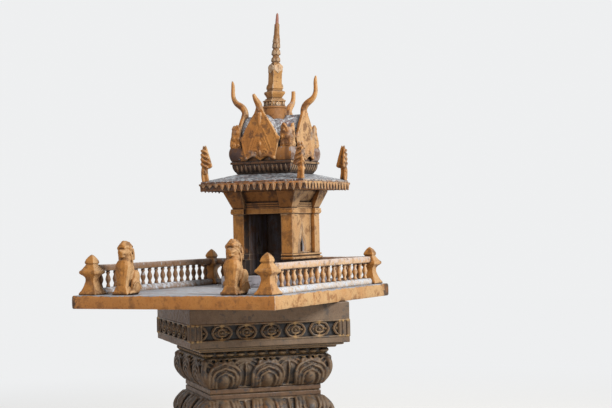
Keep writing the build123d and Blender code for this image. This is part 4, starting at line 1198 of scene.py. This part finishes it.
# The horn: how far out it leans, level, thickness.
HORN_LINE = [(3, 636, 10), (3, 660, 13), (11, 681, 14), (27, 693, 13), (44, 703, 11.5), (54, 718, 9.5),
             (58, 736, 8.5), (57, 755, 8), (56.5, 770, 7.5), (58, 783, 6), (59.5, 791, 2.5)]
HORN_STOPS = {"front": 734.0, "right": 795.0, "back": 763.0, "left": 795.0}
BLUNT_UNDER, BLUNT_ENDS = 760, (0.9, 0.72, 0.45)


def gable(bm, stop):
    leaf(bm, both_sides(GABLE_RIM), 14, 4.5)
    for side in (-1, 1):
        for thick, proud, line in GABLE_RIDGES:
            stroke(bm, on_wall([(side * x, z) for x, z in line], proud),
                   [thick * 0.7] + [thick] * (len(line) - 2) + [thick * 0.7])
        ball(bm, (side * 18, -6, 503), (4.5, 4, 3.6), rows=6)
        ball(bm, (side * 56, -7, 483), (6, 6, 6), rows=6)
        curl(bm, side * 74, 554, 9, side, 90 - side * 90, 3.4, depth=4.0)
    ball(bm, (0, -6, 536), (7, 6, 10))
    ball(bm, (0, -7, 500), (6.5, 7, 12))
    stroke(bm, on_wall([(0, 598), (0, 624), (0, 652)], 2.5), [6, 11, 14])
    line = [p for p in HORN_LINE if p[1] <= stop]
    sizes = [r for *_, r in line]
    if stop < BLUNT_UNDER:                # a horn that lost its tip was worn to a blunt cone
        sizes[-3:] = [sizes[-3] * share for share in BLUNT_ENDS]
    stroke(bm, [(0, GABLE_SEAT - out, z) for out, z, _ in line], sizes, fine=6)


for (name, stop), quarter in zip(HORN_STOPS.items(), QUARTERS):
    bm = bmesh.new()
    gable(bm, stop)
    shift(bm, quarter @ at(0, -(GABLE_FACE - GABLE_SEAT)))
    stands = ("gable_" + name, "gable_horns") if name == "front" else ("gable_" + name,)
    piece(bm, "leaf_gable_" + name, gold_high, stands, smooth=80, voxel=1.9)

# %% Curls over the corners of the hull
HULL_TOP, HULL_HALF, WING_BACK = 522.0, 127.0, 5
WING_RIM = [(2, -3), (2, 16), (5, 34), (9, 50), (12, 62), (17, 76), (25, 87), (33, 89), (39, 80), (43, 60),
            (44, 24), (44, -3)]
# Each curl on a wing: x, z, radius, which way it winds, where it starts, thickness.
WING_CURLS = [(15, 13, 12, 1, 180, 3.4), (35, 13, 9, -1, 0, 3.0), (18, 38, 10, -1, 20, 3.2),
              (35, 38, 7, 1, 200, 2.8),
              (29, 62, 9, 1, 200, 2.8)]
bm = bmesh.new()                          # a wing in the wall's plane: X runs from the corner to the gable
leaf(bm, WING_RIM, 8, 2.6)
for x, z, radius, winds, start, thick in WING_CURLS:
    curl(bm, x, z, radius, winds, start, thick, thick * 0.6, 4.5)
    ball(bm, (x, -6, z), (3.4, 4, 3.4), rows=6)
stroke(bm, on_wall([(18, 72), (27, 82), (34, 88)], 4), [3, 3.4, 2])
out = at(-HULL_HALF, -(HULL_HALF - WING_BACK), HULL_TOP)
swap = Matrix(((0, 1, 0, 0), (1, 0, 0, 0), (0, 0, 1, 0), (0, 0, 0, 1)))
repeat(bm, [out, swap @ out])
ball(bm, (-HULL_HALF + 6, -HULL_HALF + 6, HULL_TOP + 18), (8, 8, 24))
ball(bm, (-HULL_HALF + 11, -HULL_HALF + 11, HULL_TOP + 50), (9, 9, 24))
repeat(bm, QUARTERS)
piece(bm, "corner_curls", gold_high, ("tier_flames",), smooth=80, voxel=1.9)
soften(("tier_foot", "tier_hull", "tier_roof"), 2.0)

# %% [markdown]
# ## Tower and spire
# A round drum carries a square tower, which its makers set askew, and a turned needle ends
# it, bare at the tip where the paint is gone. Both have settled over to one side. The drum
# and the needle are spun, the square tower is a mitred profile, and one shear leans them.
# Modelling it upright first keeps each profile simple to read.

# %% Turn the drum and needle, mitre the tower, and lean them
LEAN_FROM, LEAN, TOWER_TURN = 682.0, Vector((0.0497, 0.0246, 0)), 57.0
DRUM = [(51, 628), (50, 640), (47.5, 660), (46.5, 674), (49, 676), (49.5, 679), (49, 682), (42, 684)]
NEEDLE = [(12, 845), (13.8, 851), (15.6, 856), (16, 864), (15, 869), (12.4, 872), (12, 876), (14.2, 880),
          (15.0, 884), (13, 898), (12, 900.5), (11.6, 905), (13.4, 909), (13.2, 925), (12.6, 940),
          (11.8, 955), (10.6, 958), (10.2, 975), (9.6, 997), (6.6, 1000.5), (6.0, 1015), (4.6, 1033),
          (2.4, 1040), (0.1, 1041)]
SQUARE_TOWER = [(30, 680), (31, 684), (31, 687), (29.5, 689), (29.5, 700), (32, 702), (32.5, 705.5),
                (29, 707), (26, 709), (26, 712), (21, 714.5), (22.5, 719), (27, 728), (29, 731), (29.5, 735),
                (29, 739), (24, 741), (21.6, 743), (21.6, 748), (23.6, 750), (24, 753), (21.4, 758),
                (19.6, 766), (19, 782), (19, 812), (20, 814), (20, 834), (19, 838), (13.5, 845), (12.5, 850)]


def crown(bm, radius, low, high, count, wide, lean=0.0, thick=3.0, turn=0.0):
    """A ring of pointed petals on a moulding; with high below low they hang."""
    one = bmesh.new()
    w, rise = math.pi * radius / count * wide, high - low
    side = [(w, low), (w * 1.02, low + rise * 0.45), (w * 0.5, low + rise * 0.8), (0, high, 1)]
    leaf(one, both_sides(side), thick, 1.0, fine=3)
    stroke(one, on_wall([(0, low), (0, low + rise * 0.8)], thick / 2), [w * 0.22, w * 0.1], sides=1, fine=2)
    for v in one.verts:
        v.co.y -= radius - lean * (v.co.z - low) / rise
    stamp(bm, one, [turned_by(360 * k / count + turn) for k in range(count)])


bm = bmesh.new()
spun(bm, DRUM, 40)
# the drum wears the darker gold with painted shade
piece(bm, "round_drum", gold_painted_shade, smooth=32)
bm, needle = bmesh.new(), bmesh.new()
mitred(bm, SQUARE_TOWER)
crown(bm, 20.5, 838, 810, 4, 1.02, thick=4)              # one broad leaf hangs on each face of the capital
crown(bm, 20.5, 834, 818, 4, 0.5, turn=45)
crown(bm, 30.5, 688, 701, 4, 0.42, thick=4)
for quarter in QUARTERS:                                 # leaves at the block's corners
    for side in (-1, 1):
        stroke(bm, [(side * 20, -30, 689), (side * 23, -31.5, 695), (side * 20, -31, 700)], [3, 3.4, 1.5],
               matrix=quarter)
        stroke(bm, [(side * 22, -22, 753), (side * 23, -23, 760), (side * 20, -20, 768)], [2.4, 2.2, 1.0],
               matrix=quarter)
shift(bm, turned_by(TOWER_TURN))
spun(needle, NEEDLE, 20)
crown(needle, 14.8, 882, 899, 6, 0.9, lean=1.5)
crown(needle, 13.4, 908, 926, 6, 0.8, lean=0.4, thick=2.4)
crown(needle, 12.6, 928, 945, 5, 0.7, lean=0.6, thick=2, turn=36)
crown(needle, 15.6, 856, 869, 6, 0.8, lean=0.4, thick=2)
for v in bm.verts[:] + needle.verts[:]:
    v.co += LEAN * max(v.co.z - LEAN_FROM, 0)
piece(bm, "square_tower", tower_gold, ("tower_tiers", "tower_shaft"), smooth=32)
piece(needle, "turned_needle", needle_gold, ("spire",), smooth=32)

# %% [markdown]
# ## Sizes
# The dressed shrine is built to stay inside the imported model's box. The box round the
# dressed shrine is measured here.

# %% Measure the dressed shrine's box
low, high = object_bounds()
